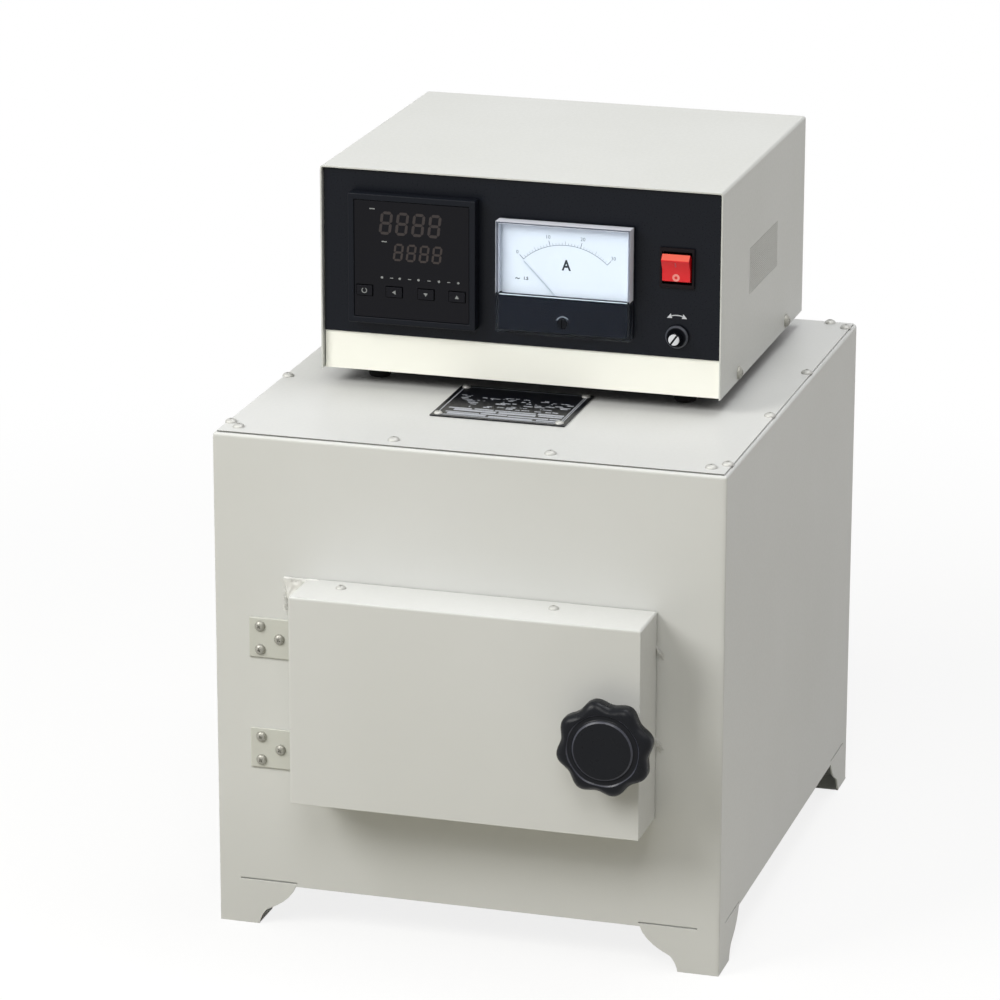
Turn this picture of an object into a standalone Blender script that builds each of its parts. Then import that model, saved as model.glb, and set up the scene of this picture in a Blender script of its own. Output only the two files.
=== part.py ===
"""Box muffle kiln with a separate temperature controller standing on its top.

Sizes are in metres. The casing's frame has X to the right, Y to the back from the front panel and Z up
from the floor. Every object hangs from an empty, and the empties of the moving pieces stand on the axes
that those pieces turn or slide along.
"""
import math

import bmesh
import bpy
from mathutils import Matrix, Vector

# Shared
touch_gap = 0.0003          # left between two pieces that touch
overrun = 0.004             # how far a cutter runs past what it cuts
weld_distance = 0.00001     # points closer than this are one
sheet = 0.0012              # sheet steel of the casing, the door and the controller
round_sides = 20            # facets of a larger turned piece
fine_sides = 16             # facets of a smaller one
small_sides = 12            # facets of the smallest
hole_sides = 8              # facets of a screw hole
sharp_angle = math.radians(35)

# Casing shell
casing_width = 0.375
casing_depth = 0.418
casing_height = 0.372
hem = 0.0024                # folded double edge round the top
flange_width = 0.024
foot_height = 0.032
foot_top_width = 0.0585
foot_knee_width = 0.036
foot_knee_height = 0.0115
foot_base_width = 0.0303
foot_pad = 0.030            # inward fold that the casing stands on
foot_upper_pull_shares = (0.93, 0.62)   # pull of the upper curve, of the top width and the foot's height
foot_lower_pull_shares = (0.88, 0.62)   # pull of the lower curve, of the knee's width and height
curve_steps = 5
slit_height = 0.0012
slit_rise = 0.0018          # from the foot's top to the slit above it
slit_margin = 0.0165        # uncut strip at the corner
slit_overlap = 0.001        # how far the slit runs past the foot
service_width = 0.300
service_height = 0.240
service_centre_height = 0.205

# Lid and its screw holes
screw_hole_radius = 0.0022
lid_front_inset = 0.0145    # front row of lid screws, from the front panel
lid_rear_inset = 0.0070     # rear row, from the back
lid_side_inset = 0.0055     # side rows of lid screws
lid_front_end = 0.0148      # from the side face to the outer screw of the front row
lid_rear_end = 0.0200       # and of the rear row
lid_row_inner = 0.0572      # from the middle to the inner screws of a row
lid_side_start = 0.0247     # first screw of a side row, from the front panel
lid_side_places = (0.150, 0.268)
lid_side_end = 0.0180       # last screw of a side row, from the back

# Nameplate
plate_width = 0.1002
plate_depth = 0.081
plate_thick = 0.0008
plate_x = -0.0012
plate_y = 0.1203
plate_screw_inset = 0.005
plate_hole_radius = 0.0014

# Muffle and heating wire
chamber_width = 0.120
chamber_height = 0.080
chamber_depth = 0.200
chamber_x = 0.0112
chamber_z = 0.1915
muffle_wall = 0.009
mouth_clearance = 0.0015
wire_radius = 0.0014
wire_pitch = 0.024
wire_turns = 6
wire_start = 0.052          # front end of the winding, from the front panel

# Insulation boards
front_board_start = 0.0100
front_board_thick = 0.032
rear_board_thick = 0.120
muffle_seat = 0.009         # how deep the muffle's back end sits in the rear board
roof_headroom = 0.0075
lead_hole_radius = 0.0026

# Element terminals
terminal_length = 0.180
terminal_height = 0.024
terminal_depth = 0.016
terminal_wire_depth = 0.007
stud_radius = 0.003
stud_length = 0.020
stud_nut_radius = 0.0052
stud_nut_start = 0.0015     # how far the nut stands behind the block
stud_nut_thick = 0.0045

# Thermocouple
sheath_radius = 0.004
sheath_reach = 0.030        # into the chamber
sheath_rise = 0.022         # over the chamber's centre
sheath_clearance = 0.0008
probe_head_radius = 0.019
probe_head_length = 0.032
probe_head_shares = ((0, 1), (0.8, 1), (1, 0.9), (1, 0.62), (0.72, 0.55), (0.72, 0.12), (0.95, 0.1),
                     (0.95, 0))

# Rear panel
rear_panel_width = 0.330
rear_panel_height = 0.270
rear_screw_inset = 0.0075
vent_slot_width = 0.004
vent_slot_height = 0.034
vent_slot_pitch = 0.012
vent_slots = 9
vent_slot_z = 0.112
gland_x = 0.061
gland_z = 0.300
gland_radius = 0.011
gland_bore = 0.0045
gland_neck = 0.008
gland_lip = 0.0022

# Door
door_width = 0.2562
door_height = 0.155
door_x = chamber_x
door_z = chamber_z
door_front = 0.04455        # from the front panel to the door's face
gasket_thick = 0.004
gasket_inset = 0.002
gasket_hinge_inset = 0.0050   # on the hinge side, clear of the pan wall's swing
pan_gap = 0.0011             # between the panel and the back edges of the pan's walls
gasket_bore_margin = 0.006  # round the muffle's outside
gasket_tab_width = 0.0184   # tuft at the top left corner
gasket_tab_height = 0.0287
tray_depth = 0.024
tray_lip = 0.008
plug_margin = 0.004         # between the door's plug and the gasket's bore
door_screw_offsets = (-0.0985, 0.0575)   # from the door's middle
door_screw_y = 0.0157

# Hinges
hinge_heights = {"upper": 0.2212, "lower": 0.1373}
leaf_height = 0.0304
leaf_thick = 0.0015
leaf_length = 0.0403        # fixed leaf, from the hinge axis to its left end
leaf_outer_screw = 0.0085   # outer screws, from the leaf's left end
leaf_inner_screw = 0.0230
leaf_screw_spread = 0.0088
knuckle_radius = 0.004
knuckle_share = 0.36        # of the leaf's height, taken by the middle knuckle
knuckle_gap = 0.0003
knuckle_room = 0.001        # cut round the middle knuckle
pin_radius = 0.00175
pin_clearance = 0.00012
pin_head_radius = 0.0030
pin_head_rise = 0.0012
axis_reach = 0.0095         # from the front panel to the hinge axis
moving_leaf_start = 0.0045  # ahead of the axis, clear of the fixed knuckles
moving_leaf_length = 0.0215
moving_screw_spread = 0.0075
moving_screw_place = 0.0115

# Door knob and latch
knob_inset = 0.0195         # from the door's right edge
knob_drop = 0.0028          # below the door's middle
knob_z = door_z - knob_drop
knob_radius = 0.035
knob_lobe_depth = 0.0019    # half the height of a lobe
knob_lobes = 8
knob_lobe_turn = math.radians(14)
knob_lobe_points = 8
knob_reach = 0.0288         # from the door's face to the knob's face
knob_thick = 0.0155
knob_edge_round = 0.0028
knob_disc_radius = 0.0215
knob_disc_rise = 0.0012
knob_hub_radius = 0.0135
spindle_radius = 0.004
bush_radius = 0.0065
bush_flange_radius = 0.0105
bush_flange_thick = 0.0012
bush_length = 0.012
spindle_clearance = 0.0002
bar_length = 0.022
bar_width = 0.0060
bar_thick = 0.0040
latch_slack = 0.0004        # between the latch bar and its keeper
keeper_thick = 0.0012
keeper_width = 0.030
keeper_height = 0.044
slot_clearance = 0.0020

# Controller box
box_width = 0.300
box_depth = 0.259
box_height = 0.152
box_x = -0.0018
box_y = 0.1376              # from the casing's front to the cover's front
box_foot = 0.012
foot_radius = 0.0095
foot_inset = 0.034
foot_taper_share = 0.82
chassis_clearance = 0.0008
front_recess = 0.0030       # fascia behind the cover's front edge
fascia_thick = 0.0010
strip_height = 0.0285       # light strip below the black fascia
fascia_top_gap = 0.0008
chassis_flange = 0.014
cover_screw_ys = (0.0552, 0.2052)
cover_screw_height = 0.0060
vent_start = 0.0845
vent_length = 0.087
vent_low = 0.0570
vent_height = 0.0347
vent_holes = (9, 4)         # along the box and up it
vent_bar = 0.0030
rear_slot_height = 0.040
rear_slot_width = 0.0045
rear_slot_pitch = 0.012
rear_slots = 8
box_gland_x = -0.100
box_gland_z = 0.040

# Instrument
instrument_size = 0.096
instrument_x = -0.0787      # from the box's middle
instrument_z = 0.0869       # from the box's underside
instrument_proud = 0.010
instrument_body = 0.090
instrument_body_depth = 0.070
instrument_rim = 0.0045
instrument_sink = 0.0018
face_thick = 0.0010
key_width = 0.0120
key_height = 0.0075
key_rise = 0.0010
key_travel = 0.0006
key_well = 0.0020
key_clearance = 0.0004
key_z = -0.0235             # from the instrument's middle
key_places = {"key_set": -0.0355, "key_shift": -0.0130, "key_down": 0.0110, "key_up": 0.0345}

# Ammeter
meter_width = 0.100
meter_height = 0.082
meter_x = 0.0350
meter_z = 0.0815
meter_proud = 0.012
meter_flange = 0.0030
meter_body_width = 0.086
meter_body_height = 0.068
meter_body_depth = 0.038
meter_wall = 0.0018
meter_mask_height = 0.0284
dial_thick = 0.0008
dial_margin = 0.0015
needle_pivot_z = -0.0205    # from the meter's middle
needle_length = 0.0440
needle_width = 0.0008
needle_thick = 0.0006
needle_hub_radius = 0.0030
needle_hub_length = 0.0014
needle_hub_room = 0.003     # round and ahead of the hub, inside the mask
needle_rest = math.radians(44)
zero_z = -0.0315
zero_radius = 0.0034
zero_length = 0.0024
zero_slot_width = 0.0009
zero_slot_depth = 0.0008

# Mains switch
switch_x = 0.1167
switch_z = 0.0947
switch_width = 0.0255
switch_height = 0.0295
switch_rim = 0.0022
switch_rim_rise = 0.0018
switch_body_depth = 0.022
rocker_width = 0.0206
rocker_gap = 0.0006
rocker_rest = math.radians(14)      # lower end pressed in
rocker_crease_rise = 0.0025         # middle of the face, ahead of the pivot
rocker_crown_rise = 0.0045          # highest line of each half
rocker_crown_half = 0.0082
rocker_end_sink = 0.0005            # tips, behind the pivot
rocker_end_half = 0.0112
rocker_back_depth = 0.0050
rocker_back_half = 0.0060

# Adjuster
adjust_x = 0.1172
adjust_z = 0.0443
adjust_radius = 0.0084      # skirt
adjust_skirt_proud = 0.0039
adjust_stem_radius = 0.0043
adjust_proud = 0.0112
adjust_slot_width = 0.0014
adjust_slot_depth = 0.0012
adjust_slot_turn = math.radians(35)
adjuster_shaft_radius = 0.0026
adjuster_shaft_proud = 0.0080       # ahead of the fascia, inside the knob
adjuster_body_radius = 0.011
adjuster_body_depth = 0.012

# Inside the controller
sink_width = 0.070
sink_depth = 0.090
sink_height = 0.050
sink_base = 0.006
sink_fins = 7
sink_fin_share = 0.32       # fin thickness, of the fin pitch
sink_x = 0.080
sink_inset = 0.059          # from the box's back
strip_block_width = 0.110
strip_block_depth = 0.026
strip_block_rise = 0.020
strip_block_slots = 6
strip_slot_width = 0.010
strip_slot_length = 0.013
strip_slot_depth = 0.008
strip_block_x = -0.060
strip_block_inset = 0.028   # from the box's back

# Places that follow from the sizes above
top_z = casing_height
lid_low = top_z - sheet
lid_flange_top = lid_low - touch_gap
floor_low = foot_height + sheet + touch_gap
floor_top = floor_low + sheet
board_low = floor_top + touch_gap
board_side = casing_width / 2 - sheet - touch_gap
roof_top = lid_flange_top - sheet - roof_headroom
winding_room = 2 * wire_radius + 2 * touch_gap
muffle_half_width = chamber_width / 2 + muffle_wall
muffle_half_height = chamber_height / 2 + muffle_wall
muffle_back = touch_gap + chamber_depth + muffle_wall
probe_z = chamber_z + sheath_rise
front_board_back = front_board_start + front_board_thick
rear_board_start = muffle_back - muffle_seat
rear_board_back = rear_board_start + rear_board_thick
rear_panel_back = casing_depth + touch_gap + sheet
probe_head_start = rear_panel_back + touch_gap
probe_head_back = probe_head_start + probe_head_length
door_left = door_x - door_width / 2
door_right = door_x + door_width / 2
door_low = door_z - door_height / 2
door_top = door_z + door_height / 2
door_back = gasket_thick + 2 * touch_gap
axis_x = door_left - touch_gap - knuckle_radius
leaf_left = leaf_length - axis_x        # from the casing's middle
knob_x = door_right - knob_inset
knob_face = door_front + knob_reach
box_low = top_z + box_foot
sink_y = box_depth - sink_inset - sink_depth
strip_block_y = box_depth - strip_block_inset - strip_block_depth
bar_start = sheet + touch_gap + keeper_thick + latch_slack

# The origin lies on the floor under the middle of the whole object
overall_depth = knob_face + probe_head_back
front_panel_y = knob_face - overall_depth / 2

for leftover in list(bpy.data.objects):
    bpy.data.objects.remove(leftover, do_unlink=True)

parts = bpy.data.collections.new("muffle_kiln")
cutters = bpy.data.collections.new("cutters")
bpy.context.scene.collection.children.link(parts)
bpy.context.scene.collection.children.link(cutters)


def anchor(name, place, parent=None):
    """An empty at a place in the casing's frame, which pieces hang from."""
    empty = bpy.data.objects.new(name, None)
    empty.empty_display_size = knob_radius
    parts.objects.link(empty)
    empty["place"] = place
    if parent is None:
        empty.location = (0, front_panel_y, 0)
    else:
        empty.parent = parent
        empty.location = Vector(place) - Vector(parent["place"])
    return empty


kiln = anchor("kiln_frame", (0, 0, 0))
door = anchor("door_axis", (axis_x, -axis_reach, door_z), kiln)
latch = anchor("knob_axis", (knob_x, -door_front, knob_z), door)


def material(name, colour, roughness, metallic=0, alpha=1):
    """A Principled material from an sRGB colour."""
    made = bpy.data.materials.new(name)
    made.use_nodes = True
    shader = made.node_tree.nodes["Principled BSDF"]
    linear = [c / 12.92 if c <= 0.04045 else ((c + 0.055) / 1.055) ** 2.4 for c in colour]
    shader.inputs["Base Color"].default_value = (*linear, 1)
    shader.inputs["Roughness"].default_value = roughness
    shader.inputs["Metallic"].default_value = metallic
    shader.inputs["Alpha"].default_value = alpha
    return made


finishes = {
    "casing_paint": ((0.80, 0.80, 0.76), 0.45, 0, 1),
    "bright_screw": ((0.80, 0.80, 0.79), 0.25, 1, 1),
    "steel": ((0.60, 0.60, 0.58), 0.40, 1, 1),
    "brass": ((0.78, 0.64, 0.35), 0.35, 1, 1),
    "nameplate": ((0.10, 0.11, 0.12), 0.35, 0, 1),
    "fibre_board": ((0.90, 0.88, 0.82), 0.95, 0, 1),
    "ceramic": ((0.86, 0.82, 0.74), 0.80, 0, 1),
    "heating_wire": ((0.42, 0.40, 0.38), 0.55, 1, 1),
    "fascia": ((0.13, 0.13, 0.14), 0.30, 0, 1),
    "strip_paint": ((0.95, 0.96, 0.90), 0.40, 0, 1),
    "black_plastic": ((0.13, 0.14, 0.16), 0.30, 0, 1),
    "rubber": ((0.10, 0.10, 0.10), 0.80, 0, 1),
    "smoked_face": ((0.12, 0.12, 0.14), 0.15, 0, 1),
    "dial_card": ((0.90, 0.93, 0.97), 0.60, 0, 1),
    "clear_cover": ((0.90, 0.93, 0.95), 0.05, 0, 0.3),
    "needle_black": ((0.05, 0.05, 0.05), 0.50, 0, 1),
    "switch_red": ((0.80, 0.10, 0.13), 0.25, 0, 1),
    "aluminium": ((0.75, 0.76, 0.77), 0.35, 1, 1),
    "green_plastic": ((0.18, 0.40, 0.28), 0.50, 0, 1),
}


def finish(node, slot):
    """Give a node its own material of the named finish."""
    node.data.materials.clear()
    node.data.materials.append(material(node.name + "_" + slot, *finishes[slot]))


def solid(name, bm, origin, parent, slot=None):
    """Turn a mesh drawn in the casing's frame into an object with its origin at a point of that frame."""
    mesh = bpy.data.meshes.new(name)
    bm.transform(Matrix.Translation(-Vector(origin)))
    bmesh.ops.recalc_face_normals(bm, faces=bm.faces)
    bm.to_mesh(mesh)
    bm.free()
    node = bpy.data.objects.new(name, mesh)
    node.parent = parent
    node.location = Vector(origin) - Vector(parent["place"])
    if slot is None:
        cutters.objects.link(node)
        node.hide_render = True
        node.display_type = "WIRE"
    else:
        mesh.shade_smooth()
        mesh.set_sharp_from_angle(angle=sharp_angle)
        parts.objects.link(node)
        finish(node, slot)
    return node


def draw_box(bm, low, high):
    """Add a closed box between two corners."""
    low, high = Vector(low), Vector(high)
    size = high - low
    place = Matrix.Translation((low + high) / 2) @ Matrix.Diagonal((*size, 1))
    bmesh.ops.create_cube(bm, size=1, matrix=place)


def lines_y(points, start, end):
    """Lines along Y from start to end, one through each (x, z)."""
    return [((x, start, z), (x, end, z)) for x, z in points]


def facing(points, way):
    """The same direction for each of several points."""
    return [(point, way) for point in points]


def draw_rod(bm, start, end, radius, sides=round_sides, end_radius=None):
    """Add a closed cylinder or cone between two points."""
    start, end = Vector(start), Vector(end)
    along = end - start
    turn = along.to_track_quat("Z", "Y").to_matrix().to_4x4()
    place = Matrix.Translation((start + end) / 2) @ turn
    tip = radius if end_radius is None else end_radius
    bmesh.ops.create_cone(bm, cap_ends=True, segments=sides, radius1=radius, radius2=tip,
                          depth=along.length, matrix=place)


def draw_prism(bm, outline, low, high, lift):
    """Add a closed prism on a flat outline; lift turns an outline point and a height into a place."""
    foot = [bm.verts.new(lift(u, v, low)) for u, v in outline]
    head = [bm.verts.new(lift(u, v, high)) for u, v in outline]
    bm.faces.new(foot)
    bm.faces.new(list(reversed(head)))
    for i in range(len(outline)):
        j = (i + 1) % len(outline)
        bm.faces.new((foot[j], foot[i], head[i], head[j]))


def middle(low, high):
    return tuple((a + b) / 2 for a, b in zip(low, high))


def box(name, low, high, parent, slot):
    bm = bmesh.new()
    draw_box(bm, low, high)
    return solid(name, bm, middle(low, high), parent, slot)


def rod(name, start, end, radius, parent, slot, sides=round_sides):
    bm = bmesh.new()
    draw_rod(bm, start, end, radius, sides)
    return solid(name, bm, start, parent, slot)


def combine(node, tool, operation):
    step = node.modifiers.new(operation.lower() + "_" + tool.name, "BOOLEAN")
    step.operation = operation
    step.solver = "EXACT"
    step.object = tool


def cut_box(node, low, high, label):
    """Take a box out of a node."""
    bm = bmesh.new()
    draw_box(bm, low, high)
    combine(node, solid(node.name + "_" + label, bm, middle(low, high), node.parent), "DIFFERENCE")


def cut_boxes(node, corners, label):
    """Take several boxes that lie apart out of a node."""
    bm = bmesh.new()
    for low, high in corners:
        draw_box(bm, low, high)
    combine(node, solid(node.name + "_" + label, bm, corners[0][0], node.parent), "DIFFERENCE")


def cut_rods(node, lines, radius, label, sides=round_sides):
    """Take round holes that lie apart out of a node."""
    bm = bmesh.new()
    for start, end in lines:
        draw_rod(bm, start, end, radius, sides)
    combine(node, solid(node.name + "_" + label, bm, lines[0][0], node.parent), "DIFFERENCE")


def add_box(node, low, high, label):
    """Weld a box to a node."""
    bm = bmesh.new()
    draw_box(bm, low, high)
    combine(node, solid(node.name + "_" + label, bm, middle(low, high), node.parent), "UNION")


def add_rod(node, start, end, radius, label, sides=round_sides):
    """Weld a cylinder to a node."""
    bm = bmesh.new()
    draw_rod(bm, start, end, radius, sides)
    combine(node, solid(node.name + "_" + label, bm, start, node.parent), "UNION")


def turned(name, profile, base, axis, parent, slot, sides=round_sides):
    """A turned piece: half an outline of (radius, height), from the top down its outer side."""
    mesh = bpy.data.meshes.new(name)
    ring = profile[0] == profile[-1]
    points = [(radius, 0, height) for radius, height in (profile[:-1] if ring else profile)]
    edges = [(i, (i + 1) % len(points)) for i in range(len(profile) - 1)]
    mesh.from_pydata(points, edges, [])
    node = bpy.data.objects.new(name, mesh)
    node.parent = parent
    node.location = Vector(base) - Vector(parent["place"])
    node.rotation_euler = Vector(axis).to_track_quat("Z", "Y").to_euler()
    spin = node.modifiers.new("turning", "SCREW")
    spin.steps = sides
    spin.render_steps = sides
    spin.use_merge_vertices = True
    spin.merge_threshold = weld_distance
    parts.objects.link(node)
    finish(node, slot)
    return node


def evaluated_mesh(node):
    bpy.context.view_layer.update()
    graph = bpy.context.evaluated_depsgraph_get()
    return bpy.data.meshes.new_from_object(node.evaluated_get(graph))


def screw_holes(node, places, label="screw_holes", radius=screw_hole_radius):
    """Holes for screws through the sheet under each (point, direction) given."""
    lines = [(Vector(p) + Vector(way) * overrun, Vector(p) - Vector(way) * overrun) for p, way in places]
    cut_rods(node, lines, radius, label, hole_sides)


def curve_points(start, pull, end, steps):
    """Points along a bend from start to end, drawn towards pull, without the first."""
    made = []
    for i in range(1, steps + 1):
        t = i / steps
        made.append(tuple((1 - t) ** 2 * a + 2 * t * (1 - t) * b + t ** 2 * c
                          for a, b, c in zip(start, pull, end)))
    return made


def foot_gap_outline(length):
    """Outline of the opening between two feet on a face of this length, seen square on."""
    top = (foot_top_width, foot_height - touch_gap)
    knee = (foot_knee_width, foot_knee_height)
    base = (foot_base_width, 0)
    upper_pull = (foot_top_width * foot_upper_pull_shares[0], foot_height * foot_upper_pull_shares[1])
    lower_pull = (foot_knee_width * foot_lower_pull_shares[0], foot_knee_height * foot_lower_pull_shares[1])
    side = [top] + curve_points(top, upper_pull, knee, curve_steps)
    side += curve_points(knee, lower_pull, base, curve_steps)
    side.append((foot_base_width, -overrun))
    left = [(u - length / 2, v) for u, v in side]
    return left + [(-u, v) for u, v in reversed(left)]


def casing_shell():
    """Folded and welded sheet: four walls, a flange round the top and the bottom, and four feet."""
    half = casing_width / 2
    shell = box("casing_shell", (-half, 0, 0), (half, casing_depth, top_z), kiln, "casing_paint")
    inner = half - sheet
    lip = inner - flange_width
    back = casing_depth - sheet
    beyond = casing_depth + overrun
    cut_box(shell, (-inner, sheet, foot_height + sheet), (inner, back, lid_flange_top - sheet), "inside")
    cut_box(shell, (-lip, sheet + flange_width, foot_height - overrun),
            (lip, back - flange_width, top_z + overrun), "between_flanges")
    cut_box(shell, (-half + hem, hem, lid_flange_top),
            (half - hem, casing_depth - hem, top_z + overrun), "lid_seat")
    cut_box(shell, (-inner, sheet, sheet), (inner, back, foot_height), "between_feet")
    cut_box(shell, (-half + foot_pad, sheet, -overrun), (half - foot_pad, back, 2 * sheet), "pads_across")
    cut_box(shell, (-inner, foot_pad, -overrun), (inner, casing_depth - foot_pad, 2 * sheet), "pads_along")

    across, along = bmesh.new(), bmesh.new()
    draw_prism(across, foot_gap_outline(casing_width), -overrun, beyond, lambda u, v, w: (u, w, v))
    draw_prism(along, foot_gap_outline(casing_depth), -half - overrun, half + overrun,
               lambda u, v, w: (w, u + casing_depth / 2, v))
    combine(shell, solid("casing_shell_front_feet", across, (0, 0, 0), kiln), "DIFFERENCE")
    combine(shell, solid("casing_shell_side_feet", along, (0, 0, 0), kiln), "DIFFERENCE")
    cut_boxes(shell, slit_boxes(), "slits")

    reach = muffle_half_width + mouth_clearance
    rise = muffle_half_height + mouth_clearance
    cut_box(shell, (chamber_x - reach, -overrun, chamber_z - rise),
            (chamber_x + reach, sheet + overrun, chamber_z + rise), "mouth")
    latch_slot(shell, 0, sheet)
    cut_box(shell, (-service_width / 2, back - overrun, service_centre_height - service_height / 2),
            (service_width / 2, beyond, service_centre_height + service_height / 2), "service")
    screw_holes(shell, lid_screw_places(), "lid_screw_holes")
    screw_holes(shell, hinge_screw_places(0), "hinge_screw_holes")
    screw_holes(shell, rear_screw_places(), "rear_screw_holes")


def slit_boxes():
    """The thin slits over the tops of the feet, eight in all."""
    half = casing_width / 2
    low = foot_height + slit_rise
    high = low + slit_height
    near, far = slit_margin, foot_top_width + slit_overlap
    made = []
    for side in (-1, 1):
        left, right = sorted((side * (half - near), side * (half - far)))
        outer, inner = sorted((side * (half + overrun), side * (half - sheet - overrun)))
        for front in (0, casing_depth - sheet):
            made.append(((left, front - overrun, low), (right, front + sheet + overrun, high)))
        for start, end in ((near, far), (casing_depth - far, casing_depth - near)):
            made.append(((outer, start, low), (inner, end, high)))
    return made


def latch_slot(node, front, thick):
    """The upright slot that the latch bar passes through while it is unlocked."""
    across = bar_width / 2 + slot_clearance
    up = bar_length / 2 + slot_clearance
    cut_box(node, (knob_x - across, front - overrun, knob_z - up),
            (knob_x + across, front + thick + overrun, knob_z + up), "slot")


def lid_screw_places():
    half = casing_width / 2
    rows = ((lid_front_inset, half - lid_front_end), (casing_depth - lid_rear_inset, half - lid_rear_end))
    points = [(x, y, top_z) for y, end in rows for x in (-end, -lid_row_inner, lid_row_inner, end)]
    column = (lid_side_start, *lid_side_places, casing_depth - lid_side_end)
    points += [(side * (half - lid_side_inset), y, top_z) for side in (-1, 1) for y in column]
    return facing(points, (0, 0, 1))


def rear_screw_places():
    across = rear_panel_width / 2 - rear_screw_inset
    up = rear_panel_height / 2 - rear_screw_inset
    grid = [(u, v) for u in (-1, 0, 1) for v in (-1, 0, 1) if (u, v) != (0, 0)]
    points = [(u * across, rear_panel_back, service_centre_height + v * up) for u, v in grid]
    return facing(points, (0, 1, 0))


def hinge_screw_places(y, sides=tuple(hinge_heights)):
    """Screws of the fixed leaves, with their heads on the plane y."""
    outer = leaf_outer_screw - leaf_left
    inner = leaf_inner_screw - leaf_left
    points = []
    for z in (hinge_heights[side] for side in sides):
        points += [(outer, y, z + leaf_screw_spread), (outer, y, z - leaf_screw_spread), (inner, y, z)]
    return facing(points, (0, -1, 0))


def leaf_screw_places(x, sides=tuple(hinge_heights)):
    """Screws of the moving leaves, with their heads on the plane x."""
    y = -axis_reach - moving_leaf_start - moving_screw_place
    points = [(x, y, hinge_heights[side] + s * moving_screw_spread) for side in sides for s in (-1, 1)]
    return facing(points, (-1, 0, 0))


def pan_screw_places(top):
    """Screws in the door's top wall or its bottom wall."""
    z, way = (door_top, 1) if top else (door_low, -1)
    return facing([(door_x + offset, -door_screw_y, z) for offset in door_screw_offsets], (0, 0, way))


def nameplate_screw_places():
    across = plate_width / 2 - plate_screw_inset
    along = plate_depth / 2 - plate_screw_inset
    z = top_z + touch_gap + plate_thick
    points = [(plate_x + u * across, plate_y + v * along, z) for u in (-1, 1) for v in (-1, 1)]
    return facing(points, (0, 0, 1))


def casing_covers():
    """Lid plate, floor plate and the screwed panel over the opening at the back."""
    half = casing_width / 2 - hem - touch_gap
    lid = box("top_cover", (-half, hem + touch_gap, lid_low), (half, casing_depth - hem - touch_gap, top_z),
              kiln, "casing_paint")
    screw_holes(lid, lid_screw_places())
    screw_holes(lid, nameplate_screw_places(), "plate_holes", plate_hole_radius)

    box("bottom_plate", (-board_side, sheet + touch_gap, floor_low),
        (board_side, casing_depth - sheet - touch_gap, floor_top), kiln, "steel")

    across, up = rear_panel_width / 2, rear_panel_height / 2
    panel = box("rear_panel", (-across, casing_depth + touch_gap, service_centre_height - up),
                (across, rear_panel_back, service_centre_height + up), kiln, "casing_paint")
    near, far = casing_depth - overrun, rear_panel_back + overrun
    slots = []
    for i in range(vent_slots):
        x = (i - (vent_slots - 1) / 2) * vent_slot_pitch
        slots.append(((x - vent_slot_width / 2, near, vent_slot_z - vent_slot_height / 2),
                      (x + vent_slot_width / 2, far, vent_slot_z + vent_slot_height / 2)))
    cut_boxes(panel, slots, "vents")
    probe_hole = sheath_radius + sheath_clearance
    cut_rods(panel, lines_y([(chamber_x, probe_z)], near, far), probe_hole, "probe_hole")
    cut_rods(panel, lines_y([(gland_x, gland_z)], near, far), gland_neck + touch_gap, "gland_hole")
    screw_holes(panel, rear_screw_places())


def nameplate():
    low = (plate_x - plate_width / 2, plate_y - plate_depth / 2, top_z + touch_gap)
    high = (plate_x + plate_width / 2, plate_y + plate_depth / 2, top_z + touch_gap + plate_thick)
    plate = box("nameplate", low, high, kiln, "nameplate")
    screw_holes(plate, nameplate_screw_places(), radius=plate_hole_radius)


def muffle_outside(extra=0):
    """Low and high corners, across and up, of the muffle's outside with some room round it."""
    return ((chamber_x - muffle_half_width - extra, chamber_z - muffle_half_height - extra),
            (chamber_x + muffle_half_width + extra, chamber_z + muffle_half_height + extra))


def lead_corners():
    """Where the two leads of the winding run back: its top right and its top left corner."""
    low, high = muffle_outside(touch_gap + wire_radius)
    return high, (low[0], high[1])


def insulation():
    """Fibre boards that fill the casing round the muffle and its winding."""
    (x0, z0), (x1, z1) = muffle_outside(winding_room)
    start, end = front_board_back + touch_gap, rear_board_start - touch_gap
    box("insulation_base", (-board_side, start, board_low), (board_side, end, z0), kiln, "fibre_board")
    box("insulation_roof", (-board_side, start, z1), (board_side, end, roof_top), kiln, "fibre_board")
    for side, left, right in (("left", -board_side, x0), ("right", x1, board_side)):
        box("insulation_side_" + side, (left, start, z0 + touch_gap), (right, end, z1 - touch_gap),
            kiln, "fibre_board")

    front = box("insulation_front", (-board_side, front_board_start, board_low),
                (board_side, front_board_back, roof_top), kiln, "fibre_board")
    (x0, z0), (x1, z1) = muffle_outside(touch_gap)
    cut_box(front, (x0, front_board_start - overrun, z0), (x1, front_board_back + overrun, z1),
            "muffle_hole")

    rear = box("insulation_rear", (-board_side, rear_board_start, board_low),
               (board_side, rear_board_back, roof_top), kiln, "fibre_board")
    near, far = rear_board_start - overrun, rear_board_back + overrun
    cut_box(rear, (x0, near, z0), (x1, muffle_back + touch_gap, z1), "muffle_seat")
    cut_rods(rear, lines_y(lead_corners(), near, far), lead_hole_radius, "lead_holes", small_sides)
    probe_hole = sheath_radius + sheath_clearance
    cut_rods(rear, lines_y([(chamber_x, probe_z)], near, far), probe_hole, "probe_hole")


def muffle():
    (x0, z0), (x1, z1) = muffle_outside()
    body = box("muffle", (x0, touch_gap, z0), (x1, muffle_back, z1), kiln, "ceramic")
    half, rise = chamber_width / 2, chamber_height / 2
    cut_box(body, (chamber_x - half, -overrun, chamber_z - rise),
            (chamber_x + half, touch_gap + chamber_depth, chamber_z + rise), "chamber")
    cut_rods(body, lines_y([(chamber_x, probe_z)], chamber_depth - overrun, muffle_back + overrun),
             sheath_radius + sheath_clearance, "probe_hole")


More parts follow.
